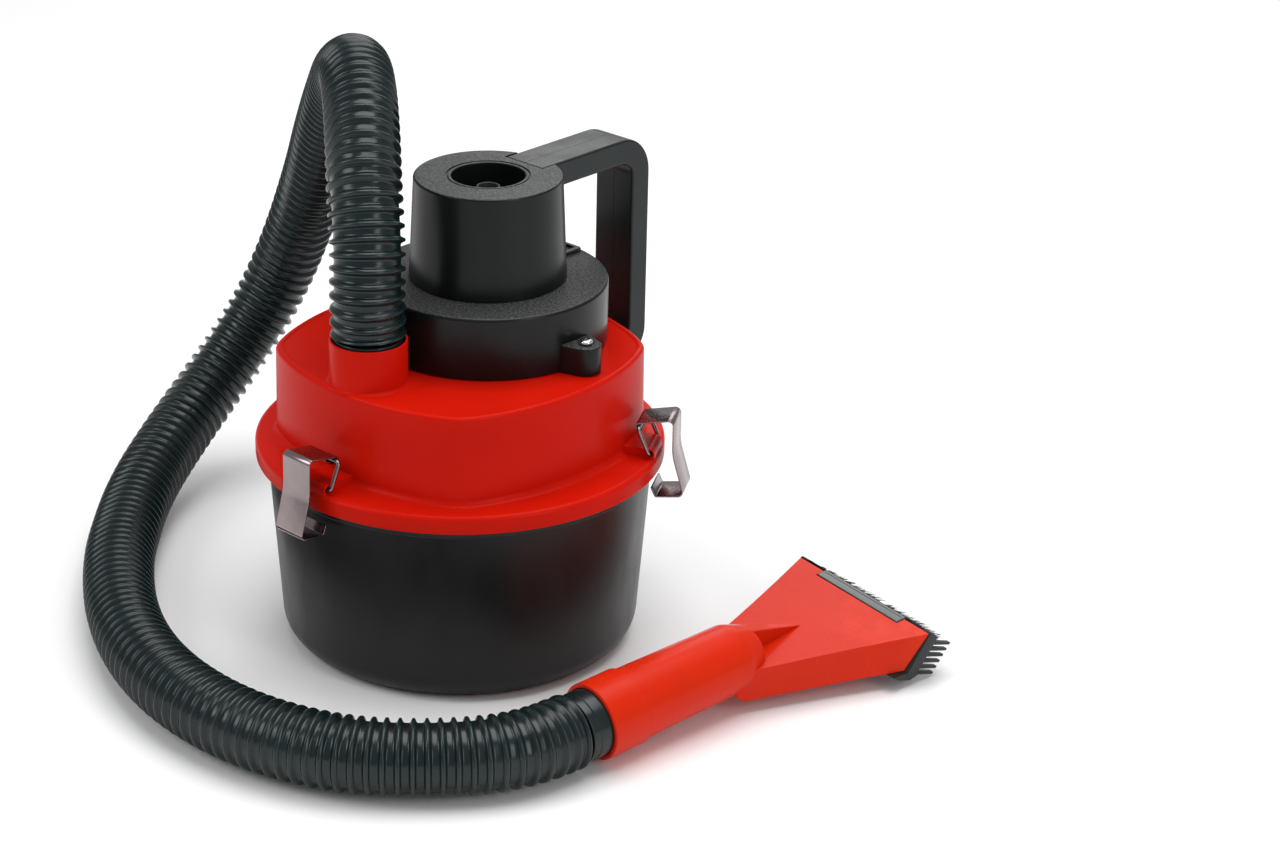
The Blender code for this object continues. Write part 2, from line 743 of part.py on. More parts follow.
def make_handle():
    """Each half is a shell, open towards the seam at X = 0."""
    on_side = Matrix(((0, 0, 1, 0), (1, 0, 0, 0), (0, 1, 0, 0), (0, 0, 0, 1)))
    for side, name in ((-1, "left"), (1, "right")):
        low, high = sorted((side * GAP / 2, side * HANDLE_HALF_WIDTH))
        half = place(f"handle_{name}", moved(prism(handle_outline(0), low, high), on_side), "handle_black")
        low, high = sorted((-side * 0.001, side * (HANDLE_HALF_WIDTH - HANDLE_WALL)))
        cut(half, moved(prism(handle_outline(HANDLE_WALL), low, high), on_side))
        cut(half, foot_screw_holes(0.078, 0.090))
        if side < 0:
            for y, z in HANDLE_SCREWS:
                at = Matrix.Translation((0, y, z)) @ Matrix.Rotation(TAU / 4, 4, "Y")
                cut(half, screw_hole(-0.014, -0.009, at))
    for k, (y, z) in enumerate(HANDLE_SCREWS, 1):
        at = (-HANDLE_HALF_WIDTH - GAP, y, z)
        screw(f"handle_screw_{k}", at, (0, -TAU / 4, 0), 0.0110, head_height=0.0014)
    for side, name in ((-1, "left"), (1, "right")):
        inside = lid_side_radius(TAU / 4) - LID_WALL - 0.0006
        at = (side * FOOT_SCREW_X, inside, FOOT_Z + 0.0065)
        screw(f"foot_screw_{name}", at, (TAU / 4, 0, 0), 0.0090, head_height=0.0014)


# ---------------------------------------------------------------- latches


def tube(name, points, radius, material, resolution, parent=None, location=(0, 0, 0)):
    curve = bpy.data.curves.new(name, "CURVE")
    curve.dimensions = "3D"
    curve.bevel_depth = radius
    curve.bevel_resolution = resolution
    curve.use_fill_caps = True
    spline = curve.splines.new("POLY")
    spline.points.add(len(points) - 1)
    for point, at in zip(spline.points, points):
        point.co = (*at, 1)
    curve.materials.append(bpy.data.materials[material])
    obj = bpy.data.objects.new(name, curve)
    bpy.context.scene.collection.objects.link(obj)
    obj.parent = parent
    obj.location = location
    return obj


def bail_path():
    """The wire from one foot over the crossbar to the other, from the feet's own axis."""
    rise = Vector((CROSSBAR_RADIUS - BAIL_FOOT_RADIUS, 0, CROSSBAR_Z - BAIL_FOOT_Z))
    bend = 0.0016
    along = rise.normalized() * bend
    half = []
    for side in (1, -1):
        foot = Vector((0, side * BAIL_HALF_WIDTH, 0))
        corner = foot + rise
        inward = Vector((0, -side * bend, 0))
        leg = [
            Vector((0, side * 0.0066, 0)),
            foot + inward,
            foot + inward * 0.3 + along * 0.3,
            foot + along,
            corner - along,
            corner + inward * 0.3 - along * 0.3,
            corner + inward,
        ]
        half.append(leg if side > 0 else leg[::-1])
    return half[0] + half[1]


def strap_path():
    """The strap's side view: an eye round the crossbar, out, down, and in to a lip under the rim."""
    eye = 0.00175
    path = []
    for k in range(9):
        angle = math.radians(-50 - 220 * k / 8)
        path.append((eye * math.cos(angle), eye * math.sin(angle)))
    bends = filleted(
        [
            (0.0, eye, 0),
            (0.0165, 0.0050, 0.0024),
            (0.0166, -0.0130, 0.030),
            (0.0225, -0.0340, 0.0026),
            (0.0086, -0.0357, 0.0010),
            (0.0065, -0.0311, 0),
        ],
        steps=4,
    )
    return path + bends[1:]


def make_latches():
    out_of_plane = Matrix.Rotation(TAU / 4, 4, "X")
    for k, angle in enumerate(LATCH_ANGLES, 1):
        frame = bpy.data.objects.new(f"latch_{k}_frame", None)
        bpy.context.scene.collection.objects.link(frame)
        frame.rotation_euler = (0, 0, angle)
        feet = (BAIL_FOOT_RADIUS, 0, BAIL_FOOT_Z)
        tube(f"latch_wire_{k}", bail_path(), WIRE_RADIUS, "latch_steel", 2, frame, feet)
        strap = prism(ribbon(strap_path(), STRAP_THICKNESS), -STRAP_WIDTH / 2, STRAP_WIDTH / 2)
        crossbar = (CROSSBAR_RADIUS, 0, CROSSBAR_Z)
        place(f"latch_strap_{k}", moved(strap, out_of_plane), "latch_steel", crossbar, parent=frame)


# ---------------------------------------------------------------- hose and nozzle


def smooth_route(points, spacing):
    """Points a given spacing apart along a Catmull-Rom curve through the route's points."""
    route = [Vector(p) for p in points]
    ends = [route[0] * 2 - route[1]] + route + [route[-1] * 2 - route[-2]]
    fine = []
    for a, b, c, d in zip(ends, ends[1:], ends[2:], ends[3:]):
        for k in range(12):
            t = k / 12
            bend = (2 * a - 5 * b + 4 * c - d) * t**2 + (3 * b - a - 3 * c + d) * t**3
            fine.append(0.5 * (2 * b + (c - a) * t + bend))
    fine.append(route[-1])
    steps = [0.0]
    for a, b in zip(fine, fine[1:]):
        steps.append(steps[-1] + (b - a).length)
    count = round(steps[-1] / spacing)
    even = []
    i = 0
    for k in range(count + 1):
        target = steps[-1] * k / count
        while i < len(steps) - 2 and steps[i + 1] < target:
            i += 1
        share = (target - steps[i]) / (steps[i + 1] - steps[i])
        even.append(fine[i].lerp(fine[i + 1], min(share, 1.0)))
    return even


def make_hose():
    tube("hose", smooth_route(HOSE_ROUTE, 0.016), HOSE_RADIUS, "hose_black", 3)
    low, high = 0.140, HOSE_ROUTE[0][2] - HOSE_END_GAP
    cuff = [(CUFF_BORE, low), (CUFF_RADIUS, low), (CUFF_RADIUS, high), (CUFF_BORE, high)]
    place("hose_inlet_cuff", turned(cuff, 28), "hose_black", (0, PORT_Y, 0))


def in_nozzle(matrix=Matrix()):
    """From the nozzle's own frame, +X along its tube and +Z up, to the world."""
    turn = Euler((NOZZLE_ROLL, -NOZZLE_PITCH, NOZZLE_YAW)).to_matrix().to_4x4()
    return Matrix.Translation(NOZZLE_RIM) @ turn @ matrix


def in_mouth(matrix=Matrix()):
    """From the slanted mouth's own frame to the world: +X out of the mouth and +Z up its slope."""
    middle = ((MOUTH_TOP_X + MOUTH_BOTTOM_X) / 2, 0, (HEAD_TOP + HEAD_BOTTOM) / 2)
    return in_nozzle(Matrix.Translation(middle) @ Matrix.Rotation(MOUTH_SLANT, 4, "Y") @ matrix)


ALONG_X = Matrix.Rotation(TAU / 4, 4, "Y")
SIDE_VIEW = Matrix.Rotation(TAU / 4, 4, "X")  # an outline of (x, z) points, raised along -Y


def head_outline(inset, front_x):
    """The flat head from above: narrow at the tube and flared to the mouth."""
    flare = (MOUTH_HALF_WIDTH - HEAD_BACK_HALF_WIDTH) / (MOUTH_TOP_X - HEAD_BACK_X)
    front_half = HEAD_BACK_HALF_WIDTH + flare * (front_x - HEAD_BACK_X) - inset
    back_half = HEAD_BACK_HALF_WIDTH - inset
    return [
        (HEAD_BACK_X + inset, -back_half),
        (front_x, -front_half),
        (front_x, front_half),
        (HEAD_BACK_X + inset, back_half),
    ]


def make_nozzle():
    tube_profile = [
        (0, 0),
        (0.0182, 0),
        (0.0187, 0.0008),
        (0.0187, 0.0208),
        (0.0179, 0.0218),
        (0.0168, 0.0860),
        (0.0155, 0.0930),
        (0.0120, 0.0985),
        (0.0065, 0.1015),
        (0, 0.1022),
    ]
    socket = [
        (0, -0.01),
        (0.0169, -0.01),
        (0.0169, 0.0210),
        (0.0150, 0.0214),
        (0.0142, 0.0880),
        (0, 0.0940),
    ]
    nozzle = place("nozzle", moved(turned(tube_profile, MEDIUM, ring=False), ALONG_X), "nozzle_red")
    nozzle.matrix_world = in_nozzle()
    head = prism(head_outline(0, MOUTH_TOP_X), HEAD_BOTTOM, HEAD_TOP)
    for vert in head.verts:
        if vert.co.x > MOUTH_BOTTOM_X and vert.co.z < (HEAD_TOP + HEAD_BOTTOM) / 2:
            vert.co.x = MOUTH_BOTTOM_X
            vert.co.y *= MOUTH_BOTTOM_TAPER
    add(nozzle, moved(head, in_nozzle()))
    rib = prism([(0.092, 0.0), (0.128, 0.0), (0.096, 0.012)], -0.0040, 0.0040)
    add(nozzle, moved(rib, in_nozzle(Matrix.Translation((0, 0, HEAD_TOP - 0.0002)) @ SIDE_VIEW)))
    cut(nozzle, moved(turned(socket, MEDIUM, ring=False), in_nozzle(ALONG_X)))
    low, high = HEAD_BOTTOM + NOZZLE_WALL, HEAD_TOP - NOZZLE_WALL
    hollow = prism(head_outline(NOZZLE_WALL, MOUTH_TOP_X + 0.005), low, high)
    cut(nozzle, moved(hollow, in_nozzle()))
    side = TAB_HALF_WIDTH + 0.0005
    notch = box((TAB_BACK_X - 0.0004, -side, high - 0.0005), (MOUTH_TOP_X + 0.005, side, HEAD_TOP + 0.005))
    cut(nozzle, moved(notch, in_nozzle()))


def comb_outline():
    """Slanted fingers on a back, as (out of the mouth, up the slope) points."""
    back, top, low = 0.0045, INSERT_HALF_HEIGHT - 0.0006, -INSERT_HALF_HEIGHT + 0.0006
    first = -0.0095
    outline = [(back, low), (COMB_ROOT, low)]
    for k in range(COMB_FINGERS):
        start, end = first + COMB_PITCH * k, first + COMB_PITCH * (k + 0.6)
        outline += [(COMB_ROOT, start), (COMB_TIP, start + COMB_LEAN)]
        outline += [(COMB_TIP, end + COMB_LEAN), (COMB_ROOT, end)]
    return outline + [(COMB_ROOT, top), (back, top)]


def make_insert():
    """A frame that plugs the mouth, with a comb at each end, a brush and a tab in the nozzle's notch."""
    half_y, half_z = INSERT_HALF_WIDTH, INSERT_HALF_HEIGHT
    body = box((GAP, -half_y, -half_z), (INSERT_DEPTH, half_y, half_z))
    frame = place("squeegee_frame", body, "insert_black")
    frame.matrix_world = in_mouth()
    heel = [(0.1535, -0.0160), (0.1615, -0.0160), (0.1705, -0.0205), (0.1650, -0.0215), (0.1580, -0.0190)]
    lip = prism(heel, -half_y + 0.0004, half_y - 0.0004)
    add(frame, moved(lip, in_nozzle(SIDE_VIEW)))
    inner_y, inner_z = half_y - 0.0050, half_z - 0.0045
    cut(frame, moved(box((-0.01, -inner_y, -inner_z), (0.02, inner_y, inner_z)), in_mouth()))
    above = half_z + 0.01
    groove = box((-0.01, -inner_y, half_z - 0.0016), (0.0046, inner_y, above))
    seat_y = TAB_HALF_WIDTH + 0.0005
    seat = box((-0.01, -seat_y, half_z - 0.0029), (0.0022, seat_y, above))
    cut(frame, moved(groove, in_mouth()))
    cut(frame, moved(seat, in_mouth()))
    for side in (-1, 1):
        low, high = sorted((side * (half_y - 0.0032), side * (half_y - 0.0006)))
        add(frame, moved(prism(comb_outline(), low, high), in_mouth(SIDE_VIEW)))
    strip = box((INSERT_DEPTH + GAP, -0.0385, half_z - 0.0024), (COMB_TIP, 0.0385, half_z - 0.0002))
    bristles = place("brush_strip", strip, "bristle_black")
    bristles.matrix_world = in_mouth()
    low, high = HEAD_TOP - 0.0012, HEAD_TOP + 0.0005
    plate = box((TAB_BACK_X, -TAB_HALF_WIDTH, low), (TAB_FRONT_X, TAB_HALF_WIDTH, high))
    tab = place("release_tab", plate, "tab_grey")
    tab.matrix_world = in_nozzle()


def make_hose_end_cuff():
    low, high = -CUFF_SHOWING, CUFF_INSIDE
    profile = [(CUFF_BORE, low), (CUFF_RADIUS, low), (CUFF_RADIUS, high), (CUFF_BORE, high)]
    cuff = place("hose_end_cuff", moved(turned(profile, 28), ALONG_X), "hose_black")
    cuff.matrix_world = in_nozzle()


def main():
    clear_scene()
    make_materials()
    make_bucket()
    make_lid()
    make_gasket()
    make_inlet_deflector()
    make_motor_housing()
    make_cord_gland()
    make_top_cap()
    make_motor()
    make_fan_cover()
    make_rotor()
    make_filter()
    make_switch()
    make_handle()
    make_latches()
    make_hose()
    make_nozzle()
    make_insert()
    make_hose_end_cuff()


main()
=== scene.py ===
"""Looks of the small wet and dry vacuum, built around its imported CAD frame. Metres, +Z up."""

import math
import random

import bmesh
import bpy
from mathutils import Euler, Matrix, Vector


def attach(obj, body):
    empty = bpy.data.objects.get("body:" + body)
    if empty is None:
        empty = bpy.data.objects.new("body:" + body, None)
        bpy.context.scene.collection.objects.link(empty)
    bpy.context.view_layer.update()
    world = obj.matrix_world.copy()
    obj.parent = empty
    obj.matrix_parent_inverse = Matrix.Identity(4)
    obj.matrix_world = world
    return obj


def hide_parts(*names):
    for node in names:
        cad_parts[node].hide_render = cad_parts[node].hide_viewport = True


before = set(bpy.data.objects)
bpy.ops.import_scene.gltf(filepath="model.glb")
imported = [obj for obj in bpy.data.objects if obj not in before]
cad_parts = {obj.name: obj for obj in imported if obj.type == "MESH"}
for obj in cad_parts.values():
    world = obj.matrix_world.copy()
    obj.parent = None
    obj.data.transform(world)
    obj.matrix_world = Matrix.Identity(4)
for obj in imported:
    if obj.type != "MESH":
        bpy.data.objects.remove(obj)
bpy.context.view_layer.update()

TAU = 2 * math.pi
SQUARE = ((1, 0), (0, 1), (-1, 0), (0, -1))
TOUCH = 1e-6

# Sides of a turned shape.
FINE = 160
MEDIUM = 72
SMALL = 32

# ---- sizes
GAP = 0.0003
WALL = 0.0022
SIDE_ARC_RADIUS = 0.1303
SIDE_ARC_OFFSET = 0.0493
CORNER_SOFTENING = math.radians(3.0)
LID_TOP_Z = 0.149
PORT_Y = -0.0606
MOTOR_Y = 0.019
DRUM_RADIUS = 0.0584
DRUM_TOP_Z = 0.180
CAP_TOP_Z = 0.231
EAR_X = 0.0650
EAR_TOP_Z = 0.163
FAN_SCREW_CIRCLE = 0.0525
HANDLE_BACK_Y = 0.121
HANDLE_INNER_Y = 0.0435
HANDLE_HALF_WIDTH = 0.0125
BAR_THICKNESS = 0.0125
FOOT_Z = 0.112
FOOT_Y = 0.0816
HANDLE_SCREWS = [(0.078, 0.22475), (0.11475, 0.205), (0.11475, 0.150)]
LATCH_ANGLES = [math.radians(a) for a in (270, 30, 150)]
BAIL_FOOT = Vector((0.0965, 0, 0.1063))
CROSSBAR = Vector((0.091, 0, 0.1195))
NOZZLE_RIM = Vector((0.1411, -0.0564, 0.0191))
NOZZLE_TURN = Euler((math.radians(4.3), -math.radians(3.0), math.radians(83.3)))
HEAD_TOP = 0.0009
HEAD_BOTTOM = -0.0157
HEAD_BACK_X = 0.0795
HEAD_BACK_HALF_WIDTH = 0.0134
MOUTH_TOP_X = 0.1755
MOUTH_BOTTOM_X = 0.1620
MOUTH_HALF_WIDTH = 0.0442
INSERT_DEPTH = 0.0070
INSERT_HALF_WIDTH = 0.0448
INSERT_HALF_HEIGHT = 0.0119
COMB_FINGERS = 6
COMB_PITCH = 0.0033
COMB_ROOT = 0.0085
COMB_TIP = 0.0200
COMB_LEAN = 0.0035
TAB_HALF_WIDTH = 0.0275
TAB_BACK_X = 0.1706
TAB_FRONT_X = 0.1769
HOSE_ROUTE = [
    (0.0, -0.0606, 0.1725), (-0.001, -0.060, 0.192), (-0.005, -0.056, 0.214),
    (-0.016, -0.047, 0.2385), (-0.033, -0.032, 0.2575), (-0.054, -0.014, 0.268),
    (-0.076, 0.004, 0.2685), (-0.098, 0.020, 0.259), (-0.118, 0.034, 0.2435),
    (-0.137, 0.046, 0.2245), (-0.155, 0.057, 0.204), (-0.171, 0.066, 0.1825),
    (-0.1855, 0.072, 0.160), (-0.198, 0.074, 0.136), (-0.208, 0.071, 0.112),
    (-0.215, 0.0615, 0.089), (-0.2195, 0.046, 0.068), (-0.2205, 0.027, 0.051),
    (-0.2175, 0.007, 0.0385), (-0.210, -0.014, 0.030), (-0.1995, -0.035, 0.024),
    (-0.1855, -0.0555, 0.0205), (-0.168, -0.076, 0.019), (-0.148, -0.097, 0.0185),
    (-0.125, -0.117, 0.0185), (-0.099, -0.136, 0.0185), (-0.071, -0.152, 0.0185),
    (-0.041, -0.164, 0.0185), (-0.009, -0.171, 0.0185), (0.024, -0.172, 0.0185),
    (0.056, -0.166, 0.0185), (0.085, -0.153, 0.0185), (0.109, -0.133, 0.0185),
    (0.1275, -0.110, 0.0185), (0.1365, -0.089, 0.0185), (0.1396, -0.0689, 0.0185),
]
HOSE_CREST = 0.0180
HOSE_VALLEY = 0.0157
HOSE_PITCH = 0.0063
HOSE_SAMPLES = 10


# ---- camera


def make_camera():
    data = bpy.data.cameras.new("camera")
    data.lens = 89.0
    data.sensor_width = 36.0
    data.shift_x = 0.1406
    camera = bpy.data.objects.new("camera", data)
    camera.location = (0.9984, -0.9984, 0.735)
    camera.rotation_euler = (math.radians(66.0), 0, math.radians(45.0))
    bpy.context.scene.collection.objects.link(camera)
    bpy.context.scene.camera = camera


# ---- materials, each kept by its name


MATERIALS = {}


class Graph:
    """A material's node tree, with short calls for the nodes used here."""

    def __init__(self, name):
        material = bpy.data.materials.new(name)
        material.use_nodes = True
        MATERIALS[name] = material
        self.tree = material.node_tree
        self.shader = self.tree.nodes["Principled BSDF"]
        self.place = self.new("TexCoord").outputs["Object"]

    def link(self, source, target):
        self.tree.links.new(source, target)

    def new(self, kind, **values):
        """A node with some of its inputs set, each by its name with _ for a space."""
        node = self.tree.nodes.new(f"ShaderNode{kind}")
        for name, value in values.items():
            node.inputs[name.replace("_", " ")].default_value = value
        return node

    def noise(self, scale, detail=3.0, stretch=None, roughness=0.5):
        node = self.new("TexNoise", Scale=scale, Detail=detail, Roughness=roughness)
        where = self.place
        if stretch:
            mapping = self.new("Mapping", Scale=stretch)
            self.link(where, mapping.inputs["Vector"])
            where = mapping.outputs["Vector"]
        self.link(where, node.inputs["Vector"])
        return node.outputs["Fac"]

    def ramp(self, value, low, high, low_at=0.35, high_at=0.65):
        node = self.new("MapRange", From_Min=low_at, From_Max=high_at, To_Min=low, To_Max=high)
        self.link(value, node.inputs["Value"])
        return node.outputs["Result"]

    def mix(self, share, first, second):
        node = self.new("Mix")
        node.data_type = "RGBA"
        self.link(share, node.inputs["Factor"])
        for value, socket in ((first, node.inputs["A"]), (second, node.inputs["B"])):
            if hasattr(value, "is_linked"):
                self.link(value, socket)
            else:
                socket.default_value = (*value, 1.0)
        return node.outputs["Result"]

    def maths(self, operation, first, second):
        node = self.new("Math")
        node.operation = operation
        for k, value in enumerate((first, second)):
            if hasattr(value, "is_linked"):
                self.link(value, node.inputs[k])
            else:
                node.inputs[k].default_value = value
        return node.outputs["Value"]

    def bump(self, height, strength, distance):
        node = self.new("Bump", Strength=strength, Distance=distance)
        self.link(height, node.inputs["Height"])
        self.link(node.outputs["Normal"], self.shader.inputs["Normal"])

    def edges(self):
        """1 on sharp outer edges and 0 elsewhere."""
        geometry = self.new("NewGeometry")
        return self.ramp(geometry.outputs["Pointiness"], 0.0, 1.0, 0.53, 0.62)


def plastic(
    name, colour, roughness, grain=0.0, grain_scale=1400, edge_wear_and_highlight=None, spread=0.05, shine=0.3, drift=0.13
):
    """Moulded plastic: slight colour drift, uneven gloss, a grain or a faint ripple, and lighter edges that
    are part wear and part painted highlight.
    """
    graph = Graph(name)
    shader = graph.shader
    shader.inputs["Specular IOR Level"].default_value = shine
    light = tuple(min(1.0, c * (1 + drift)) for c in colour)
    dark = tuple(c * (1 - drift) for c in colour)
    base = graph.mix(graph.ramp(graph.noise(28, 4.0), 0.0, 1.0), dark, light)
    # Sharp edges are lightened: part rubbed wear, part painted highlight along the edges.
    if edge_wear_and_highlight:
        edge_wear_and_highlight_mask = graph.maths("MULTIPLY", graph.edges(), graph.ramp(graph.noise(120, 4.0), 0.15, 0.8))
        base = graph.mix(edge_wear_and_highlight_mask, base, edge_wear_and_highlight)
    graph.link(base, shader.inputs["Base Color"])
    smear = graph.noise(46, 5.0, (1.0, 1.0, 0.45), 0.6)
    graph.link(graph.ramp(smear, roughness - spread, roughness + spread), shader.inputs["Roughness"])
    if grain:
        graph.bump(graph.noise(grain_scale, 2.0), grain, 0.0001)
    else:
        graph.bump(graph.noise(70, 2.0), 0.12, 0.0003)


def grained_top(name, colour, side_roughness, top_roughness):
    """Plastic that is smooth on its upright walls and finely spark-eroded on its flat top, where pale flecks
    paint in light from above.
    """
    graph = Graph(name)
    shader = graph.shader
    shader.inputs["Specular IOR Level"].default_value = 0.24
    geometry = graph.new("NewGeometry")
    split = graph.new("SeparateXYZ")
    graph.link(geometry.outputs["Normal"], split.inputs["Vector"])
    up = graph.ramp(split.outputs["Z"], 0.0, 1.0, 0.75, 0.97)
    speck = graph.noise(800, 2.0)
    drift = graph.noise(30, 4.0)
    dark = tuple(c * 0.8 for c in colour)
    base = graph.mix(graph.ramp(drift, 0.0, 1.0), dark, colour)
    # Painted top light: the flecks follow the real grain, but lightening only the upward faces paints in
    # light falling from above.
    top_light_pale = tuple(c * 4.0 + 0.06 for c in colour)
    top_light_fleck = graph.maths("MULTIPLY", up, graph.ramp(speck, 0.2, 1.0, 0.4, 0.68))
    graph.link(graph.mix(top_light_fleck, base, top_light_pale), shader.inputs["Base Color"])
    smear = graph.noise(50, 5.0, (1.0, 1.0, 0.3), 0.6)
    sides = graph.ramp(smear, side_roughness - 0.04, side_roughness + 0.05)
    rise = graph.maths("MULTIPLY", up, top_roughness - side_roughness)
    graph.link(graph.maths("ADD", sides, rise), shader.inputs["Roughness"])
    height = graph.maths("MULTIPLY", speck, graph.maths("ADD", graph.maths("MULTIPLY", up, 0.9), 0.06))
    graph.bump(height, 0.6, 0.00022)


def metal(name, colour, roughness, stretch=(1.0, 1.0, 14.0), scale=900):
    """Bare metal with fine brushing and a few dull patches."""
    graph = Graph(name)
    shader = graph.shader
    shader.inputs["Metallic"].default_value = 1.0
    brushing = graph.noise(scale, 3.0, stretch)
    patches = graph.noise(90, 4.0)
    dull = tuple(c * 0.84 for c in colour)
    graph.link(graph.mix(graph.ramp(patches, 0.0, 1.0), dull, colour), shader.inputs["Base Color"])
    graph.link(graph.ramp(brushing, roughness - 0.06, roughness + 0.08), shader.inputs["Roughness"])
    graph.bump(brushing, 0.12, 0.00006)


def foam(name, colour):
    """Open-cell foam, with visible pores whose centres are painted dark as shade inside the cells."""
    graph = Graph(name)
    cells = graph.new("TexVoronoi", Scale=900)
    graph.link(graph.place, cells.inputs["Vector"])
    # Painted shade: the cell centres are darkened and the cell rims lightened.
    pore_shade = graph.ramp(cells.outputs["Distance"], 1.0, 0.0, 0.1, 0.6)
    light = tuple(c * 1.7 for c in colour)
    dark = tuple(c * 0.25 for c in colour)
    graph.link(graph.mix(pore_shade, light, dark), graph.shader.inputs["Base Color"])
    graph.link(graph.ramp(graph.noise(200), 0.85, 1.0), graph.shader.inputs["Roughness"])
    graph.bump(cells.outputs["Distance"], 0.8, 0.0006)


def make_materials():
    even = (1.0, 1.0, 1.0)
    red = {"spread": 0.02, "drift": 0.03}
    # The last colour of a plastic lightens its sharp edges, and the hose's ridge crests: part wear, part
    # painted highlight.
    plastic("bucket_black", (0.0056, 0.0056, 0.0056), 0.36, 0.10, 1500, (0.04, 0.04, 0.04))
    plastic("lid_red", (0.56, 0.0085, 0.0022), 0.3, edge_wear_and_highlight=(0.64, 0.016, 0.005), shine=0.05, **red)
    grained_top("housing_black", (0.0062, 0.0066, 0.0066), 0.30, 0.5)
    grained_top("cap_black", (0.0058, 0.0078, 0.0080), 0.30, 0.42)
    plastic("handle_black", (0.0075, 0.0125, 0.013), 0.32, 0.16, 1700, (0.05, 0.05, 0.05))
    plastic("switch_black", (0.03, 0.03, 0.03), 0.3, 0.1, 1700, (0.1, 0.1, 0.1))
    plastic("hose_black", (0.0052, 0.0135, 0.0145), 0.24, edge_wear_and_highlight=(0.02, 0.032, 0.034), shine=0.4)
    plastic("nozzle_red", (0.64, 0.022, 0.0035), 0.26, edge_wear_and_highlight=(0.72, 0.035, 0.008), shine=0.11, **red)
    plastic("insert_black", (0.006, 0.012, 0.012), 0.36, 0.12, 1500, (0.03, 0.035, 0.035))
    plastic("bristle_black", (0.006, 0.006, 0.007), 0.5)
    plastic("tab_grey", (0.075, 0.085, 0.085), 0.26, edge_wear_and_highlight=(0.25, 0.25, 0.25), shine=0.6)
    # The latch steel's pink tint is a painted reflection of the red lid.
    metal("latch_steel", (0.31, 0.255, 0.26), 0.2)
    metal("screw_steel", (0.78, 0.78, 0.77), 0.18, even, 1600)
    metal("motor_steel", (0.48, 0.49, 0.50), 0.34)
    plastic("internal_plastic", (0.035, 0.036, 0.037), 0.5, 0.2, 1200, (0.09, 0.09, 0.09))
    plastic("fan_plastic", (0.52, 0.52, 0.49), 0.45, 0.12, 1200, (0.7, 0.7, 0.68))
    foam("filter_foam", (0.055, 0.058, 0.062))
    plastic("float_white", (0.72, 0.72, 0.68), 0.32)
    metal("bronze", (0.52, 0.33, 0.13), 0.36, even, 1800)
    plastic("rubber", (0.016, 0.016, 0.016), 0.72, 0.3, 1000, (0.04, 0.04, 0.04))


# ---- shape helpers


def at(x=0.0, y=0.0, z=0.0):
    return Matrix.Translation((x, y, z))


def about_z(angle):
    return Matrix.Rotation(angle, 4, "Z")


ABOUT_MOTOR = at(0, MOTOR_Y)
AT_PORT = at(0, PORT_Y)
ALONG_X = Matrix.Rotation(TAU / 4, 4, "Y")
AGAINST_X = Matrix.Rotation(-TAU / 4, 4, "Y")
SIDE_VIEW = Matrix.Rotation(TAU / 4, 4, "X")
ON_SIDE = Matrix(((0, 0, 1, 0), (1, 0, 0, 0), (0, 1, 0, 0), (0, 0, 0, 1)))
GLAND = at(0, MOTOR_Y, 0.168) @ about_z(math.radians(118)) @ ALONG_X


def new_object(name, bm):
    """Makes an object of the scene, with its faces turned outwards."""
    bmesh.ops.recalc_face_normals(bm, faces=bm.faces)
    mesh = bpy.data.meshes.new(name)
    bm.to_mesh(mesh)
    bm.free()
    obj = bpy.data.objects.new(name, mesh)
    bpy.context.scene.collection.objects.link(obj)
    return obj


def shade(mesh, angle):
    """Smooth shading, broken at the edges that are sharper than angle."""
    mesh.shade_smooth()
    mesh.set_sharp_from_angle(angle=math.radians(angle))


def piece(node, bm, material, body="head", angle=32, place=None, replaced=True):
    """Makes a mesh of the frame into a piece that rides on a body, in place of a CAD node."""
    if place:
        moved(bm, place)
    obj = new_object(f"{node}_look", bm)
    shade(obj.data, angle)
    obj.data.materials.append(MATERIALS[material])
    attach(obj, body)
    if replaced:
        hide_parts(node)
    return obj


def lathe(node, corners, steps, sides, material, body="head", place=ABOUT_MOTOR, ring=True):
    """A piece turned from a section with filleted corners."""
    return piece(node, turned(filleted(corners, steps), sides, ring), material, body, place=place)


def settle(obj, angle=32):
    """Applies an object's Boolean modifiers, removes their cutters and shades the result."""
    helpers = [m.object for m in obj.modifiers if m.type == "BOOLEAN"]
    graph = bpy.context.evaluated_depsgraph_get()
    mesh = bpy.data.meshes.new_from_object(obj.evaluated_get(graph))
    old = obj.data
    obj.modifiers.clear()
    obj.data = mesh
    mesh.name = old.name
    bpy.data.meshes.remove(old)
    for helper in helpers:
        bpy.data.objects.remove(helper)
    bm = bmesh.new()
    bm.from_mesh(mesh)
    bmesh.ops.remove_doubles(bm, verts=bm.verts, dist=TOUCH)
    bmesh.ops.dissolve_degenerate(bm, dist=TOUCH, edges=bm.edges)
    bm.to_mesh(mesh)
    bm.free()
    shade(mesh, angle)
    obj.modifiers.new("flat_faces", "WEIGHTED_NORMAL").keep_sharp = True


def modify(obj, bm, operation, place):
    if place:
        moved(bm, place)
    cutter = new_object("cutter", bm)
    cutter.hide_render = True
    modifier = obj.modifiers.new("boolean", "BOOLEAN")
    modifier.operation = operation
    modifier.solver = "EXACT"
    modifier.object = cutter


def cut(obj, bm, place=None):
    modify(obj, bm, "DIFFERENCE", place)


def add(obj, bm, place=None):
    modify(obj, bm, "UNION", place)


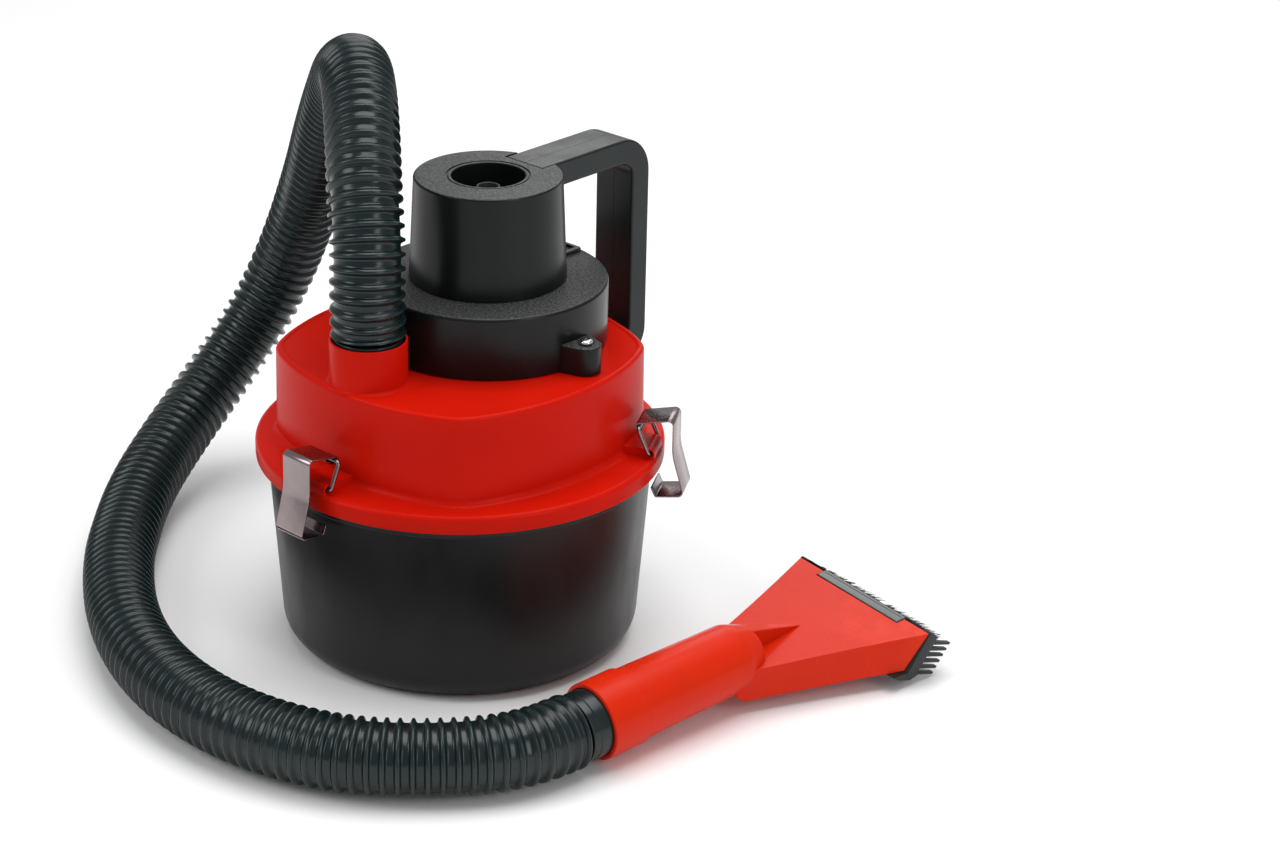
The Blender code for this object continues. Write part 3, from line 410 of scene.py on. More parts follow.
def turned(profile, sides, ring=True):
    bm = bmesh.new()
    verts = [bm.verts.new((r, 0, z)) for r, z in profile]
    pairs = list(zip(verts, verts[1:]))
    if ring:
        pairs.append((verts[-1], verts[0]))
    edges = [bm.edges.new(pair) for pair in pairs]
    bmesh.ops.spin(
        bm, geom=verts + edges, cent=(0, 0, 0), axis=(0, 0, 1), angle=TAU, steps=sides, use_merge=True
    )
    bmesh.ops.remove_doubles(bm, verts=bm.verts, dist=1e-7)
    return bm


def prism(outline, low, high):
    bm = bmesh.new()
    face = bm.faces.new([bm.verts.new((x, y, low)) for x, y in outline])
    raised = bmesh.ops.extrude_face_region(bm, geom=[face])["geom"]
    tops = [v for v in raised if isinstance(v, bmesh.types.BMVert)]
    bmesh.ops.translate(bm, verts=tops, vec=(0, 0, high - low))
    return bm


def soften(bm, width, segments=3, angle=25, keep=None):
    """Rounds the edges that are sharper than angle, or those of them that keep picks."""
    bmesh.ops.recalc_face_normals(bm, faces=bm.faces)
    sharp = [e for e in bm.edges if e.is_manifold and e.calc_face_angle(0) > math.radians(angle)]
    if keep:
        sharp = [e for e in sharp if keep(e)]
    bmesh.ops.bevel(
        bm, geom=sharp, offset=width, segments=segments, profile=0.5, affect="EDGES", clamp_overlap=True
    )
    return bm


def on_plane(axis, value):
    """Picks the edges that lie on a plane across x, y or z."""
    return lambda edge: all(abs(getattr(v.co, axis) - value) < TOUCH for v in edge.verts)


def box(low, high, rounding=0.0, segments=3):
    outline = [(low[0], low[1]), (high[0], low[1]), (high[0], high[1]), (low[0], high[1])]
    bm = prism(outline, low[2], high[2])
    return soften(bm, rounding, segments) if rounding else bm


def cylinder(radius, low, high, sides=SMALL):
    return turned([(0, low), (radius, low), (radius, high), (0, high)], sides, ring=False)


def moved(bm, matrix):
    bmesh.ops.transform(bm, matrix=matrix, verts=bm.verts)
    return bm


def joined(*parts):
    whole = bmesh.new()
    for part in parts:
        mesh = bpy.data.meshes.new("joined")
        bmesh.ops.recalc_face_normals(part, faces=part.faces)
        part.to_mesh(mesh)
        part.free()
        whole.from_mesh(mesh)
        bpy.data.meshes.remove(mesh)
    return whole


def ringed(count, make, start=0.0):
    """Copies of a shape, evenly round the motor's axis."""
    turns = [ABOUT_MOTOR @ about_z(TAU * (k + start) / count) for k in range(count)]
    return joined(*[moved(make(), turn) for turn in turns])


def arc(x, y, radius, start, end, steps):
    """Points on a circle round (x, y), from one angle to another in degrees."""
    angles = [math.radians(start + (end - start) * k / steps) for k in range(steps + 1)]
    return [(x + radius * math.cos(a), y + radius * math.sin(a)) for a in angles]


def rectangle(left, right, low, high, fillet, right_fillet=None):
    """The corners of a rectangle, with the radius of each."""
    other = right_fillet or fillet
    return [(left, low, fillet), (right, low, other), (right, high, other), (left, high, fillet)]


def filleted(corners, steps=6):
    """An outline from its corners (x, y, radius), each rounded by that radius."""
    points = []
    count = len(corners)
    for i, (x, y, radius) in enumerate(corners):
        here = Vector((x, y))
        if radius <= 0:
            points.append((x, y))
            continue
        before = (Vector(corners[i - 1][:2]) - here).normalized()
        after = (Vector(corners[(i + 1) % count][:2]) - here).normalized()
        half = before.angle(after) / 2
        middle = here + (before + after).normalized() * (radius / math.sin(half))
        start = here + before * (radius / math.tan(half)) - middle
        end = here + after * (radius / math.tan(half)) - middle
        turn = start.angle_signed(end)
        for k in range(steps + 1):
            a = -turn * k / steps
            c, s = math.cos(a), math.sin(a)
            points.append((middle.x + start.x * c - start.y * s, middle.y + start.x * s + start.y * c))
    return points


def ribbon(path, thickness):
    """The outline of a strip of one thickness along a flat path."""
    left, right = [], []
    for i, point in enumerate(path):
        before = Vector(path[max(i - 1, 0)])
        after = Vector(path[min(i + 1, len(path) - 1)])
        along = (after - before).normalized()
        side = Vector((-along.y, along.x)) * (thickness / 2)
        left.append(tuple(Vector(point) + side))
        right.append(tuple(Vector(point) - side))
    return left + right[::-1]


def skin(bm, loops):
    """Faces from each loop of points to the next, and one that closes each end."""
    for lower, upper in zip(loops, loops[1:]):
        for k in range(len(lower)):
            n = (k + 1) % len(lower)
            bm.faces.new((lower[k], lower[n], upper[n], upper[k]))
    bm.faces.new(loops[0])
    bm.faces.new(loops[-1])
    return bm


def swept(path, radii, sides):
    """A tube round a path of points, with one radius a point, capped at both ends."""
    bm = bmesh.new()
    rings = []
    normal = None
    for i, point in enumerate(path):
        along = (path[min(i + 1, len(path) - 1)] - path[max(i - 1, 0)]).normalized()
        if normal is None:
            normal = along.orthogonal().normalized()
        normal = (normal - along * normal.dot(along)).normalized()
        other = along.cross(normal)
        ring = []
        for k in range(sides):
            a = TAU * k / sides
            ring.append(bm.verts.new(point + (normal * math.cos(a) + other * math.sin(a)) * radii[i]))
        rings.append(ring)
    return skin(bm, rings)


# ---- bucket and lid


def make_bucket():
    corners = [
        (0, 0, 0),
        (0.0700, 0, 0),
        (0.0873, 0, 0.0130),
        (0.0938, 0.0905, 0.0009),
        (0.0964, 0.0915, 0.0008),
        (0.0964, 0.0995, 0.0007),
        (0.0922, 0.0995, 0.0007),
        (0.0915, 0.0890, 0.002),
        (0.0851, 0.0024, 0.0110),
        (0, 0.0024, 0),
    ]
    lathe("bucket", corners, 8, FINE, "bucket_black", "bucket", place=None, ring=False)


def lid_side_radius(angle):
    """How far the lid's bowed side is from its middle: four arcs, with their corners softened."""
    quarter = TAU / 4
    off_middle = abs((angle + quarter / 2) % quarter - quarter / 2)
    off_corner = math.hypot(quarter / 2 - off_middle, CORNER_SOFTENING)
    swing = quarter / 2 - off_corner
    reach = SIDE_ARC_RADIUS**2 - (SIDE_ARC_OFFSET * math.sin(swing)) ** 2
    return math.sqrt(reach) - SIDE_ARC_OFFSET * math.cos(swing)


def ring_points(height, radius=None, inset=0.0):
    """A level ring: a circle if it has a radius, or else the lid's side less an inset."""
    points = []
    for k in range(FINE):
        angle = TAU * k / FINE
        r = radius if radius else lid_side_radius(angle) - inset
        points.append((r * math.cos(angle), r * math.sin(angle), height))
    return points


def lofted(rings):
    bm = bmesh.new()
    return skin(bm, [[bm.verts.new(p) for p in ring] for ring in rings])


def lid_rings():
    """The lid from the middle of its ceiling, down inside, round the skirt and up to its top.

    The skirt is given by (radius, height), and the bowed walls by (inset from their outside, height).
    """
    top = LID_TOP_Z
    wall = top - 0.0020
    inside = [(0.0120, 0.1468), (0.0046, 0.1468), (0.0030, 0.1460), (0.0026, 0.1440)]
    inside += [(WALL, 0.1030), (0.0016, 0.1018)]
    skirt = [(0.0962, 0.1018), (0.0972, 0.1014), (0.0974, 0.1004), (0.0974, 0.0956)]
    skirt += arc(0.0990, 0.0960, 0.0010, -90, 0, 5)
    skirt += arc(0.0974, 0.1015, 0.0026, 0, 90, 6)
    skirt += [(0.0962, 0.1041)]
    outside = arc(-0.0034, 0.1077, 0.0034, 270, 360, 6)
    outside += [(0.0001, 0.120), (0.0003, wall - 0.0100), (0.0004, wall - 0.0010)]
    outside += arc(0.0024, wall, 0.0020, 180, 90, 6)
    outside += [(0.0034, top), (0.0037, top - 0.0001), (0.0039, top - 0.0004)]
    outside += [(0.0042, top - 0.0005), (0.0120, top - 0.0005)]
    rings = [ring_points(z, inset=inset) for inset, z in inside]
    rings += [ring_points(z, radius=radius) for radius, z in skirt]
    return rings + [ring_points(z, inset=inset) for inset, z in outside]


def latch_copies(make):
    return joined(*[moved(make(), about_z(angle)) for angle in LATCH_ANGLES])


def make_lid():
    lid = piece("lid", lofted(lid_rings()), "lid_red")

    def outside(edge):
        return all(v.co.x > 0.081 and v.co.z > 0.1025 for v in edge.verts)

    def lug():
        corners = [(0.0800, 0.1020, 0), (0.0988, 0.1020, 0), (0.0988, 0.1088, 0.0030), (0.0800, 0.1088, 0)]
        block = moved(prism(filleted(corners, 10), -0.0092, 0.0092), SIDE_VIEW)
        return soften(block, 0.0013, 4, 40, outside)

    def pin_hole():
        return moved(cylinder(0.0016, -0.02, 0.02, 20), Matrix.Translation(BAIL_FOOT) @ SIDE_VIEW)

    add(lid, latch_copies(lug))
    cut(lid, lofted([ring_points(z, inset=0.0023) for z in (0.1000, 0.1100)]))
    cut(lid, latch_copies(pin_hole))
    cut(lid, cylinder(0.0500, 0.14, 0.16, 96), ABOUT_MOTOR)
    cut(lid, cylinder(0.0178, 0.14, 0.16, 64), AT_PORT)
    settle(lid, 28)
    corners = [
        (0.0172, 0.1221, 0.0004),
        (0.0186, 0.1221, 0.0004),
        (0.0186, 0.1482, 0),
        (0.0208, 0.1482, 0),
        (0.0208, 0.14855, 0),
        (0.0186, 0.14865, 0.0017),
        (0.0186, 0.1700, 0.0006),
        (0.0172, 0.1700, 0.0006),
    ]
    piece("lid_port", turned(filleted(corners), 96), "lid_red", place=AT_PORT, replaced=False)


def make_gasket():
    lathe("lid_gasket", rectangle(0.0928, 0.0960, 0.0998, 0.1015, 0.0003), 3, FINE, "rubber", place=None)


def make_inlet_deflector():
    outline = arc(0, 0, 0.0208, 15, 165, 30) + arc(0, 0, 0.0190, 165, 15, 30)
    bm = soften(prism(outline, 0.092, 0.140), 0.0004, 2, 40)
    piece("inlet_deflector", bm, "internal_plastic", place=AT_PORT)


# ---- screws


def screw_shape(length, head, height):
    """A pan-head screw with a thread, the underside of its head at the origin, pointing to -Z."""
    shaft = 0.0016
    taper_end = -length + shaft * 1.4
    dome = []
    for k in range(9):
        a = math.radians(90 * k / 8)
        radius = head * math.cos(a) ** 0.7 if k < 8 else 0.0
        dome.append((radius, height * 0.35 + height * 0.65 * math.sin(a)))
    profile = [(0, -length), (shaft * 0.25, -length), (shaft * 0.8, taper_end)]
    turns = max(2, int((length - 0.003) / 0.0011))
    for k in range(turns):
        z = taper_end + (-taper_end - 0.0012) * k / turns
        profile += [(shaft * 0.78, z), (shaft, z + 0.0003), (shaft * 0.78, z + 0.0006)]
    profile += [(shaft * 0.8, 0), (head * 0.97, 0), (head, height * 0.06)] + dome
    return turned(profile, 28, ring=False)


def make_screw(node, matrix, length, head=0.0033, height=0.002):
    """A screw, with the cross of its driver cut into its head."""
    obj = piece(node, screw_shape(length, head, height), "screw_steel", angle=50)
    reach, half = head * 0.56, 0.00038
    for turn in (0, TAU / 4):
        arm = box((-reach, -half, height * 0.45), (reach, half, height * 2))
        cut(obj, arm, about_z(turn + 0.35))
    settle(obj, 40)
    obj.data.transform(matrix)


def make_screws():
    for side, name in ((-1, "left"), (1, "right")):
        spot = at(side * EAR_X, MOTOR_Y, EAR_TOP_Z + GAP)
        make_screw(f"housing_screw_{name}", spot @ about_z(side * 0.6), 0.020)
        inside = lid_side_radius(TAU / 4) - WALL - 0.0006
        spot = at(side * 0.0065, inside, FOOT_Z + 0.0065)
        make_screw(f"foot_screw_{name}", spot @ SIDE_VIEW, 0.0090, height=0.0014)
    for k, angle in enumerate((30, 150, 270), 1):
        a = math.radians(angle)
        spot = at(FAN_SCREW_CIRCLE * math.cos(a), MOTOR_Y + FAN_SCREW_CIRCLE * math.sin(a), 0.1442)
        make_screw(f"fan_cover_screw_{k}", spot @ Matrix.Rotation(TAU / 2, 4, "X"), 0.0085, head=0.0030)
    for k, (y, z) in enumerate(HANDLE_SCREWS, 1):
        spot = at(-HANDLE_HALF_WIDTH - GAP, y, z)
        make_screw(f"handle_screw_{k}", spot @ AGAINST_X, 0.0110, height=0.0014)


# ---- motor head


def ear_shape(side):
    """A round screw ear, with a neck that reaches into the drum's wall."""
    radius, reach, top = 0.0074, 0.0120, EAR_TOP_Z - 0.0002
    outline = [(-reach, -radius - 0.0036), (-reach, radius + 0.0036)] + arc(0, 0, radius, 78, -78, 13)
    bm = prism([(side * x, y) for x, y in outline], LID_TOP_Z + GAP, top)
    return moved(soften(bm, 0.0008, 3, 25, on_plane("z", top)), at(side * EAR_X, MOTOR_Y))


def make_motor_housing():
    low, top = LID_TOP_Z + GAP, DRUM_TOP_Z
    corners = [
        (DRUM_RADIUS - 0.0002, low, 0.0003),
        (DRUM_RADIUS, top, 0.0017),
        (0.0335, top, 0),
        (0.0335, top - WALL, 0),
        (DRUM_RADIUS - WALL, top - WALL, 0.001),
        (DRUM_RADIUS - WALL, low, 0.0003),
    ]
    drum = lathe("motor_housing", corners, 6, FINE, "housing_black")
    for side in (-1, 1):
        add(drum, ear_shape(side))
    cut(drum, cylinder(DRUM_RADIUS - WALL, low - 0.01, top - WALL, 96), ABOUT_MOTOR)
    cut(drum, box((-0.0087, 0.0628, top - 0.01), (0.0087, 0.0738, top + 0.01)))
    cut(drum, cylinder(0.0042, 0.04, 0.07), GLAND)
    seat = [(0, -0.03), (0.0018, -0.03), (0.0018, -0.0004), (0.0041, -0.0004), (0.0044, 0.01), (0, 0.01)]
    for side in (-1, 1):
        cut(drum, turned(seat, 40, ring=False), at(side * EAR_X, MOTOR_Y, EAR_TOP_Z))
    settle(drum, 30)


def make_cord_gland():
    out = DRUM_RADIUS
    profile = [
        (0.0020, 0.0540),
        (0.0038, 0.0540),
        (0.0039, out + GAP),
        (0.0060, out + GAP),
        (0.0062, out + 0.0008),
        (0.0061, out + 0.0024),
        (0.0056, out + 0.0029),
        (0.0047, out + 0.0031),
    ]
    for k in range(4):
        start = out + 0.0036 + 0.0025 * k
        r = 0.0046 - 0.0002 * k
        root = r - 0.0009
        profile += [(root, start), (r, start + 0.0004), (r, start + 0.0015), (root, start + 0.0019)]
    profile += [(0.0034, out + 0.0138), (0.0031, out + 0.0141), (0.0020, out + 0.0141)]
    piece("cord_gland", turned(profile, 48), "rubber", place=GLAND)


def make_top_cap():
    low, wall = DRUM_TOP_Z + GAP, 0.0023
    corners = [
        (0.0382, low, 0.0002),
        (0.0359, CAP_TOP_Z, 0.0011),
        (0.0204, CAP_TOP_Z, 0.0002),
        (0.0202, CAP_TOP_Z - 0.0007, 0.0001),
        (0.0196, CAP_TOP_Z - 0.0007, 0.0001),
        (0.0194, CAP_TOP_Z - 0.0001, 0.0003),
        (0.0178, CAP_TOP_Z - 0.0001, 0.0006),
        (0.0176, 0.2110, 0.0003),
        (0.0194, 0.2110, 0.0003),
        (0.0196, CAP_TOP_Z - wall, 0.0003),
        (0.0336, CAP_TOP_Z - wall, 0.0010),
        (0.0358, low + 0.0020, 0),
        (0.0358, low, 0),
    ]
    cap = lathe("top_cap", corners, 5, FINE, "cap_black")
    slot_x, slot_z = HANDLE_HALF_WIDTH + GAP, CAP_TOP_Z - BAR_THICKNESS - GAP
    cut(cap, box((-slot_x, HANDLE_INNER_Y - GAP, slot_z), (slot_x, 0.060, CAP_TOP_Z + 0.001)))
    settle(cap, 30)


def make_motor():
    can = [
        (0.0058, 0.1522, 0),
        (0.0190, 0.1522, 0.0012),
        (0.0190, 0.2030, 0.0003),
        (0.0178, 0.2030, 0.0003),
        (0.0178, 0.1536, 0.0006),
        (0.0058, 0.1536, 0),
    ]
    lathe("motor_can", can, 5, MEDIUM, "motor_steel")
    end_cap = [
        (0.0047, 0.2033, 0),
        (0.0189, 0.2033, 0.0003),
        (0.0189, 0.2080, 0.0014),
        (0.0108, 0.2080, 0.0004),
        (0.0104, 0.2072, 0.0003),
        (0.0060, 0.2072, 0.0004),
        (0.0059, 0.2254, 0.0006),
        (0.0047, 0.2254, 0.0004),
    ]
    lathe("motor_end_cap", end_cap, 4, MEDIUM, "internal_plastic")
    for node, radius, low, high in (
        ("motor_bush_lower", 0.0055, 0.1518, 0.1560),
        ("motor_bush_upper", 0.0043, 0.2045, 0.2120),
    ):
        lathe(node, rectangle(0.0019, radius, low, high, 0.0003, 0.0004), 3, 40, "bronze")
    plate = rectangle(0.0068, 0.0550, 0.1494, 0.1515, 0.0004)
    mount = lathe("motor_mount_plate", plate, 3, 96, "internal_plastic")
    cut(mount, ringed(6, lambda: moved(cylinder(0.008, 0.14, 0.16, 36), at(0.034))))
    settle(mount)


def make_fan_cover():
    corners = [
        (0.0170, 0.1100, 0.0004),
        (0.0190, 0.1100, 0.0004),
        (0.0190, 0.1160, 0.0008),
        (0.0490, 0.1160, 0.0020),
        (0.0490, 0.1445, 0.0006),
        (0.0560, 0.1445, 0.0004),
        (0.0560, 0.1465, 0.0004),
        (0.0470, 0.1465, 0.0004),
        (0.0470, 0.1180, 0.0010),
        (0.0170, 0.1180, 0.0006),
    ]
    cover = lathe("fan_cover", corners, 4, 120, "internal_plastic")
    add(cover, ringed(9, lambda: box((0.0475, -0.0007, 0.1168), (0.0505, 0.0007, 0.1448), 0.0003, 2), 0.5))
    settle(cover)


def make_rotor():
    shaft = [(0, 0.1206), (0.0011, 0.1206), (0.0016, 0.1212), (0.0016, 0.2105), (0.0012, 0.2110), (0, 0.2110)]
    piece("motor_shaft", turned(shaft, 28, ring=False), "motor_steel", "rotor", place=ABOUT_MOTOR)
    stack = [(0.0019, 0.160)]
    for k in range(17):
        z = 0.160 + 0.002 * k
        stack += [(0.0144, z + 0.0001), (0.0145, z + 0.0003), (0.0145, z + 0.0015), (0.0142, z + 0.0018)]
    stack += [(0.0142, 0.194), (0.0019, 0.194)]
    armature = piece("motor_armature", turned(stack, 60), "motor_steel", "rotor", place=ABOUT_MOTOR)
    cut(armature, ringed(7, lambda: box((0.0105, -0.0009, 0.15), (0.0160, 0.0009, 0.20))))
    settle(armature)
    hub = [
        (0.0019, 0.1250, 0),
        (0.0060, 0.1250, 0.0004),
        (0.0072, 0.1362, 0.0020),
        (0.0410, 0.1381, 0),
        (0.0410, 0.1398, 0.0005),
        (0.0019, 0.1398, 0),
    ]
    impeller = lathe("impeller", hub, 5, 96, "fan_plastic", "rotor")
    for k in range(8):
        bend = [(0.0130 + 0.0265 * t / 8, 0.0035 * (t / 8) ** 2 - 0.0005) for t in range(9)]
        blade = soften(prism(ribbon(bend, 0.0013), 0.1276, 0.1386), 0.0003, 2, 40)
        add(impeller, blade, ABOUT_MOTOR @ about_z(TAU * k / 8 + 0.2))
    settle(impeller)
    low, high = 0.1216, 0.1247
    nut = [(0.0019, low), (0.0034, low), (0.0036, low + 0.0003)]
    nut += [(0.0036, high - 0.0003), (0.0034, high), (0.0019, high)]
    piece("impeller_nut", turned(nut, 6), "screw_steel", "rotor", place=ABOUT_MOTOR)


def make_filter():
    low, high, radius = 0.062, 0.1157, 0.0340
    cage_corners = [
        (0.0040, low, 0),
        (radius, low, 0.0010),
        (radius, high, 0.0008),
        (0.0194, high, 0),
        (0.0194, high - WALL, 0),
        (radius - WALL, high - WALL, 0.0006),
        (radius - WALL, low + 0.0025, 0.0010),
        (0.0040, low + 0.0025, 0),
    ]
    cage = lathe("filter_cage", cage_corners, 4, 96, "internal_plastic")
    for k in range(3):
        slot = box((-0.05, -0.0094, low + 0.0081), (0.05, 0.0094, high - 0.0101), 0.0012)
        cut(cage, slot, ABOUT_MOTOR @ about_z(TAU * k / 6 + TAU / 12))
    settle(cage)
    piece("filter_sleeve", sleeve_shape(), "filter_foam", place=ABOUT_MOTOR)
    knob_corners = [
        (0, 0.0576, 0),
        (0.0090, 0.0576, 0.0006),
        (0.0110, 0.0591, 0.0010),
        (0.0410, 0.0591, 0.0008),
        (0.0410, low - GAP, 0.0008),
        (0.0036, low - GAP, 0.0002),
        (0.0036, low + 0.0040, 0.0008),
        (0, low + 0.0040, 0),
    ]
    knob = lathe("filter_end_cap", knob_corners, 4, 96, "internal_plastic", ring=False)
    cut(knob, ringed(24, lambda: box((0.0402, -0.0006, 0.05), (0.0430, 0.0006, 0.07))))
    settle(knob)
    ball = bmesh.new()
    bmesh.ops.create_uvsphere(ball, u_segments=64, v_segments=32, radius=0.0189)
    for vert in ball.verts:
        seam = math.exp(-((vert.co.z / 0.0006) ** 2))
        vert.co *= 1 + 0.005 * seam
    piece("float_ball", ball, "float_white", "float", place=at(0, MOTOR_Y, 0.0853))


def sleeve_shape():
    """A foam ring with a slightly uneven outside and rounded rims."""
    profile = filleted(rectangle(0.0345, 0.0399, 0.0631, 0.1144, 0.0006, 0.0014), 5)
    dense = []
    for a, b in zip(profile, profile[1:] + profile[:1]):
        steps = max(1, int(math.dist(a, b) / 0.003))
        for k in range(steps):
            t = k / steps
            dense.append((a[0] + (b[0] - a[0]) * t, a[1] + (b[1] - a[1]) * t))
    bm = turned(dense, 120)
    for vert in bm.verts:
        r = math.hypot(vert.co.x, vert.co.y)
        if r > 0.038:
            a = math.atan2(vert.co.y, vert.co.x)
            dip = 0.00035 * (1 + math.sin(5 * a + vert.co.z * 160) * math.sin(3 * a - vert.co.z * 90))
            vert.co.x *= (r - dip) / r
            vert.co.y *= (r - dip) / r
    return bm


def make_switch():
    top, y = DRUM_TOP_Z, 0.0683
    middle = at(0, y)
    flange = filleted(rectangle(-0.0103, 0.0103, -0.0067, 0.0067, 0.0022))
    bm = soften(prism(flange, top + GAP, top + 0.0018), 0.0006, 3, 40, on_plane("z", top + 0.0018))
    bezel = piece("switch_bezel", bm, "insert_black", place=middle)
    add(bezel, box((-0.0083, -0.0051, top - 0.0095), (0.0083, 0.0051, top + 0.0010), 0.0005, 2), middle)
    cut(bezel, box((-0.0075, -0.0043, top - 0.0080), (0.0075, 0.0043, top + 0.0050)), middle)
    settle(bezel)
    half, thick = 0.0066, 0.0046
    face = [(half * (1 - k / 6), -0.0001 + 0.0013 * (1 - k / 6) ** 2) for k in range(13)]
    bm = soften(prism([(-half, -thick), (half, -thick)] + face, -0.0040, 0.0040), 0.0004, 3, 40)
    tilt = at(0, y, top + 0.0009) @ Matrix.Rotation(math.radians(8), 4, "Y")
    rocker = piece("switch_rocker", bm, "switch_black", "rocker", place=tilt @ SIDE_VIEW)
    cut(rocker, box((0.0034, -0.0013, 0.0003), (0.0042, 0.0013, 0.0020)), tilt)
    ring = turned([(0.0009, 0.0003), (0.0014, 0.0003), (0.0014, 0.0020), (0.0009, 0.0020)], 28)
    cut(rocker, moved(ring, at(-0.0038)), tilt)
    settle(rocker)


# ---- carrying handle


def handle_outline(inset):
    """The handle from its side, as (y, z): from the cap back, down and in to its foot on the lid."""
    top, back, low = CAP_TOP_Z - inset, HANDLE_BACK_Y - inset, FOOT_Z + inset
    under = CAP_TOP_Z - BAR_THICKNESS + inset
    front = HANDLE_BACK_Y - BAR_THICKNESS + inset
    foot_top = FOOT_Z + 0.013 - inset
    inner = HANDLE_INNER_Y + inset + 0.0005
    corners = [
        (inner, top, 0),
        (back, top, 0.020 - inset),
        (back, low, 0.016 - inset),
        (FOOT_Y + inset, low, 0),
        (FOOT_Y + inset, foot_top, 0),
        (front, foot_top, 0.006 + inset),
        (front, under, 0.008 + inset),
        (inner, under, 0),
    ]
    return filleted(corners, 14)


def make_handle():
    for side, name in ((-1, "left"), (1, "right")):
        seam, outer = side * 0.00004, side * (HANDLE_HALF_WIDTH - 0.0001)
        bm = moved(prism(handle_outline(0), *sorted((seam, outer))), ON_SIDE)
        bm = soften(bm, 0.0013, 4, 40, on_plane("x", outer))
        bm = soften(bm, 0.00012, 2, 40, on_plane("x", seam))
        half = piece(f"handle_{name}", bm, "handle_black")
        hollow = sorted((-side * 0.001, side * (HANDLE_HALF_WIDTH - WALL)))
        cut(half, prism(handle_outline(WALL), *hollow), ON_SIDE)
        if side < 0:
            seat = [(0, 0), (0.0018, 0), (0.0018, 0.0019), (0.0039, 0.0024), (0.0041, 0.01), (0, 0.01)]
            for y, z in HANDLE_SCREWS:
                cut(half, turned(seat, 40, ring=False), at(-HANDLE_HALF_WIDTH + 0.0024, y, z) @ AGAINST_X)
        settle(half, 30)


# ---- latches


def rounded_path(points, radius, steps=6):
    """A path in space with its corners rounded."""
    path = [points[0]]
    for before, here, after in zip(points, points[1:], points[2:]):
        back, on = (before - here).normalized(), (after - here).normalized()
        start, end = here + back * radius, here + on * radius
        for k in range(steps + 1):
            t = k / steps
            path.append(start.lerp(here, t).lerp(here.lerp(end, t), t))
    path.append(points[-1])
    return path


def bail_shape():
    """A wire bail about its lug's hole, with its crossbar where the strap turns."""
    foot, wide, rise = 0.0067, 0.0113, CROSSBAR - BAIL_FOOT
    spots = [(foot, 0), (wide, 0), (wide, 1), (-wide, 1), (-wide, 0), (-foot, 0)]
    path = rounded_path([Vector((0, y, 0)) + rise * up for y, up in spots], 0.0019)
    return swept(path, [0.00098] * len(path), 16)


def strap_path():
    """The strap from its side: an eye round the crossbar, then down, out and back in to its hook."""
    eye = 0.00175
    bends = [
        (0, eye, 0),
        (0.0165, 0.0050, 0.0024),
        (0.0166, -0.0130, 0.030),
        (0.0225, -0.0340, 0.0026),
        (0.0086, -0.0357, 0.0010),
        (0.0065, -0.0311, 0),
    ]
    return arc(0, 0, eye, -50, -270, 24) + filleted(bends, 10)[1:]


def make_latches():
    outline = ribbon(strap_path(), 0.0008)
    for k, angle in enumerate(LATCH_ANGLES, 1):
        turn = about_z(angle)
        wire = turn @ Matrix.Translation(BAIL_FOOT)
        piece(f"latch_wire_{k}", bail_shape(), "latch_steel", f"bail_{k}", place=wire)
        bm = prism(outline, -0.0090, 0.0090)
        bm = soften(bm, 0.00025, 2, 60, lambda e: abs(e.verts[0].co.z - e.verts[1].co.z) < TOUCH)
        strap = turn @ Matrix.Translation(CROSSBAR) @ SIDE_VIEW
        piece(f"latch_strap_{k}", bm, "latch_steel", f"strap_{k}", place=strap)


# ---- hose and nozzle


def smooth_route(points, spacing):
    """Evenly spaced points on a smooth curve through the given ones."""
    route = [Vector(p) for p in points]
    ends = [route[0] * 2 - route[1]] + route + [route[-1] * 2 - route[-2]]
    fine = []
    for a, b, c, d in zip(ends, ends[1:], ends[2:], ends[3:]):
        for k in range(12):
            t = k / 12
            square, cube = 2 * a - 5 * b + 4 * c - d, 3 * b - a - 3 * c + d
            fine.append(0.5 * (2 * b + (c - a) * t + square * t**2 + cube * t**3))
    fine.append(route[-1])
    reached = [0.0]
    for a, b in zip(fine, fine[1:]):
        reached.append(reached[-1] + (b - a).length)
    count = round(reached[-1] / spacing)
    even = []
    i = 0
    for k in range(count + 1):
        target = reached[-1] * k / count
        while i < len(reached) - 2 and reached[i + 1] < target:
            i += 1
        share = (target - reached[i]) / (reached[i + 1] - reached[i])
        even.append(fine[i].lerp(fine[i + 1], min(share, 1.0)))
    return even


def make_hose():
    """The corrugated hose, one rounded ridge every HOSE_PITCH, with its path and its length."""
    path = smooth_route(HOSE_ROUTE, HOSE_PITCH / HOSE_SAMPLES)
    radii = []
    for i in range(len(path)):
        off_crest = abs(((i + HOSE_SAMPLES // 2) % HOSE_SAMPLES) / HOSE_SAMPLES - 0.5)
        radii.append(HOSE_VALLEY + (HOSE_CREST - HOSE_VALLEY) * math.exp(-((off_crest / 0.19) ** 4)))
    hose = piece("hose", swept(path, radii, 40), "hose_black", angle=70)
    return hose, path, sum((b - a).length for a, b in zip(path, path[1:]))


def in_nozzle(matrix=Matrix()):
    return Matrix.Translation(NOZZLE_RIM) @ NOZZLE_TURN.to_matrix().to_4x4() @ matrix


MOUTH_SLANT = math.atan2(MOUTH_TOP_X - MOUTH_BOTTOM_X, HEAD_TOP - HEAD_BOTTOM)


def in_mouth(matrix=Matrix()):
    middle = at((MOUTH_TOP_X + MOUTH_BOTTOM_X) / 2, 0, (HEAD_TOP + HEAD_BOTTOM) / 2)
    return in_nozzle(middle @ Matrix.Rotation(MOUTH_SLANT, 4, "Y") @ matrix)


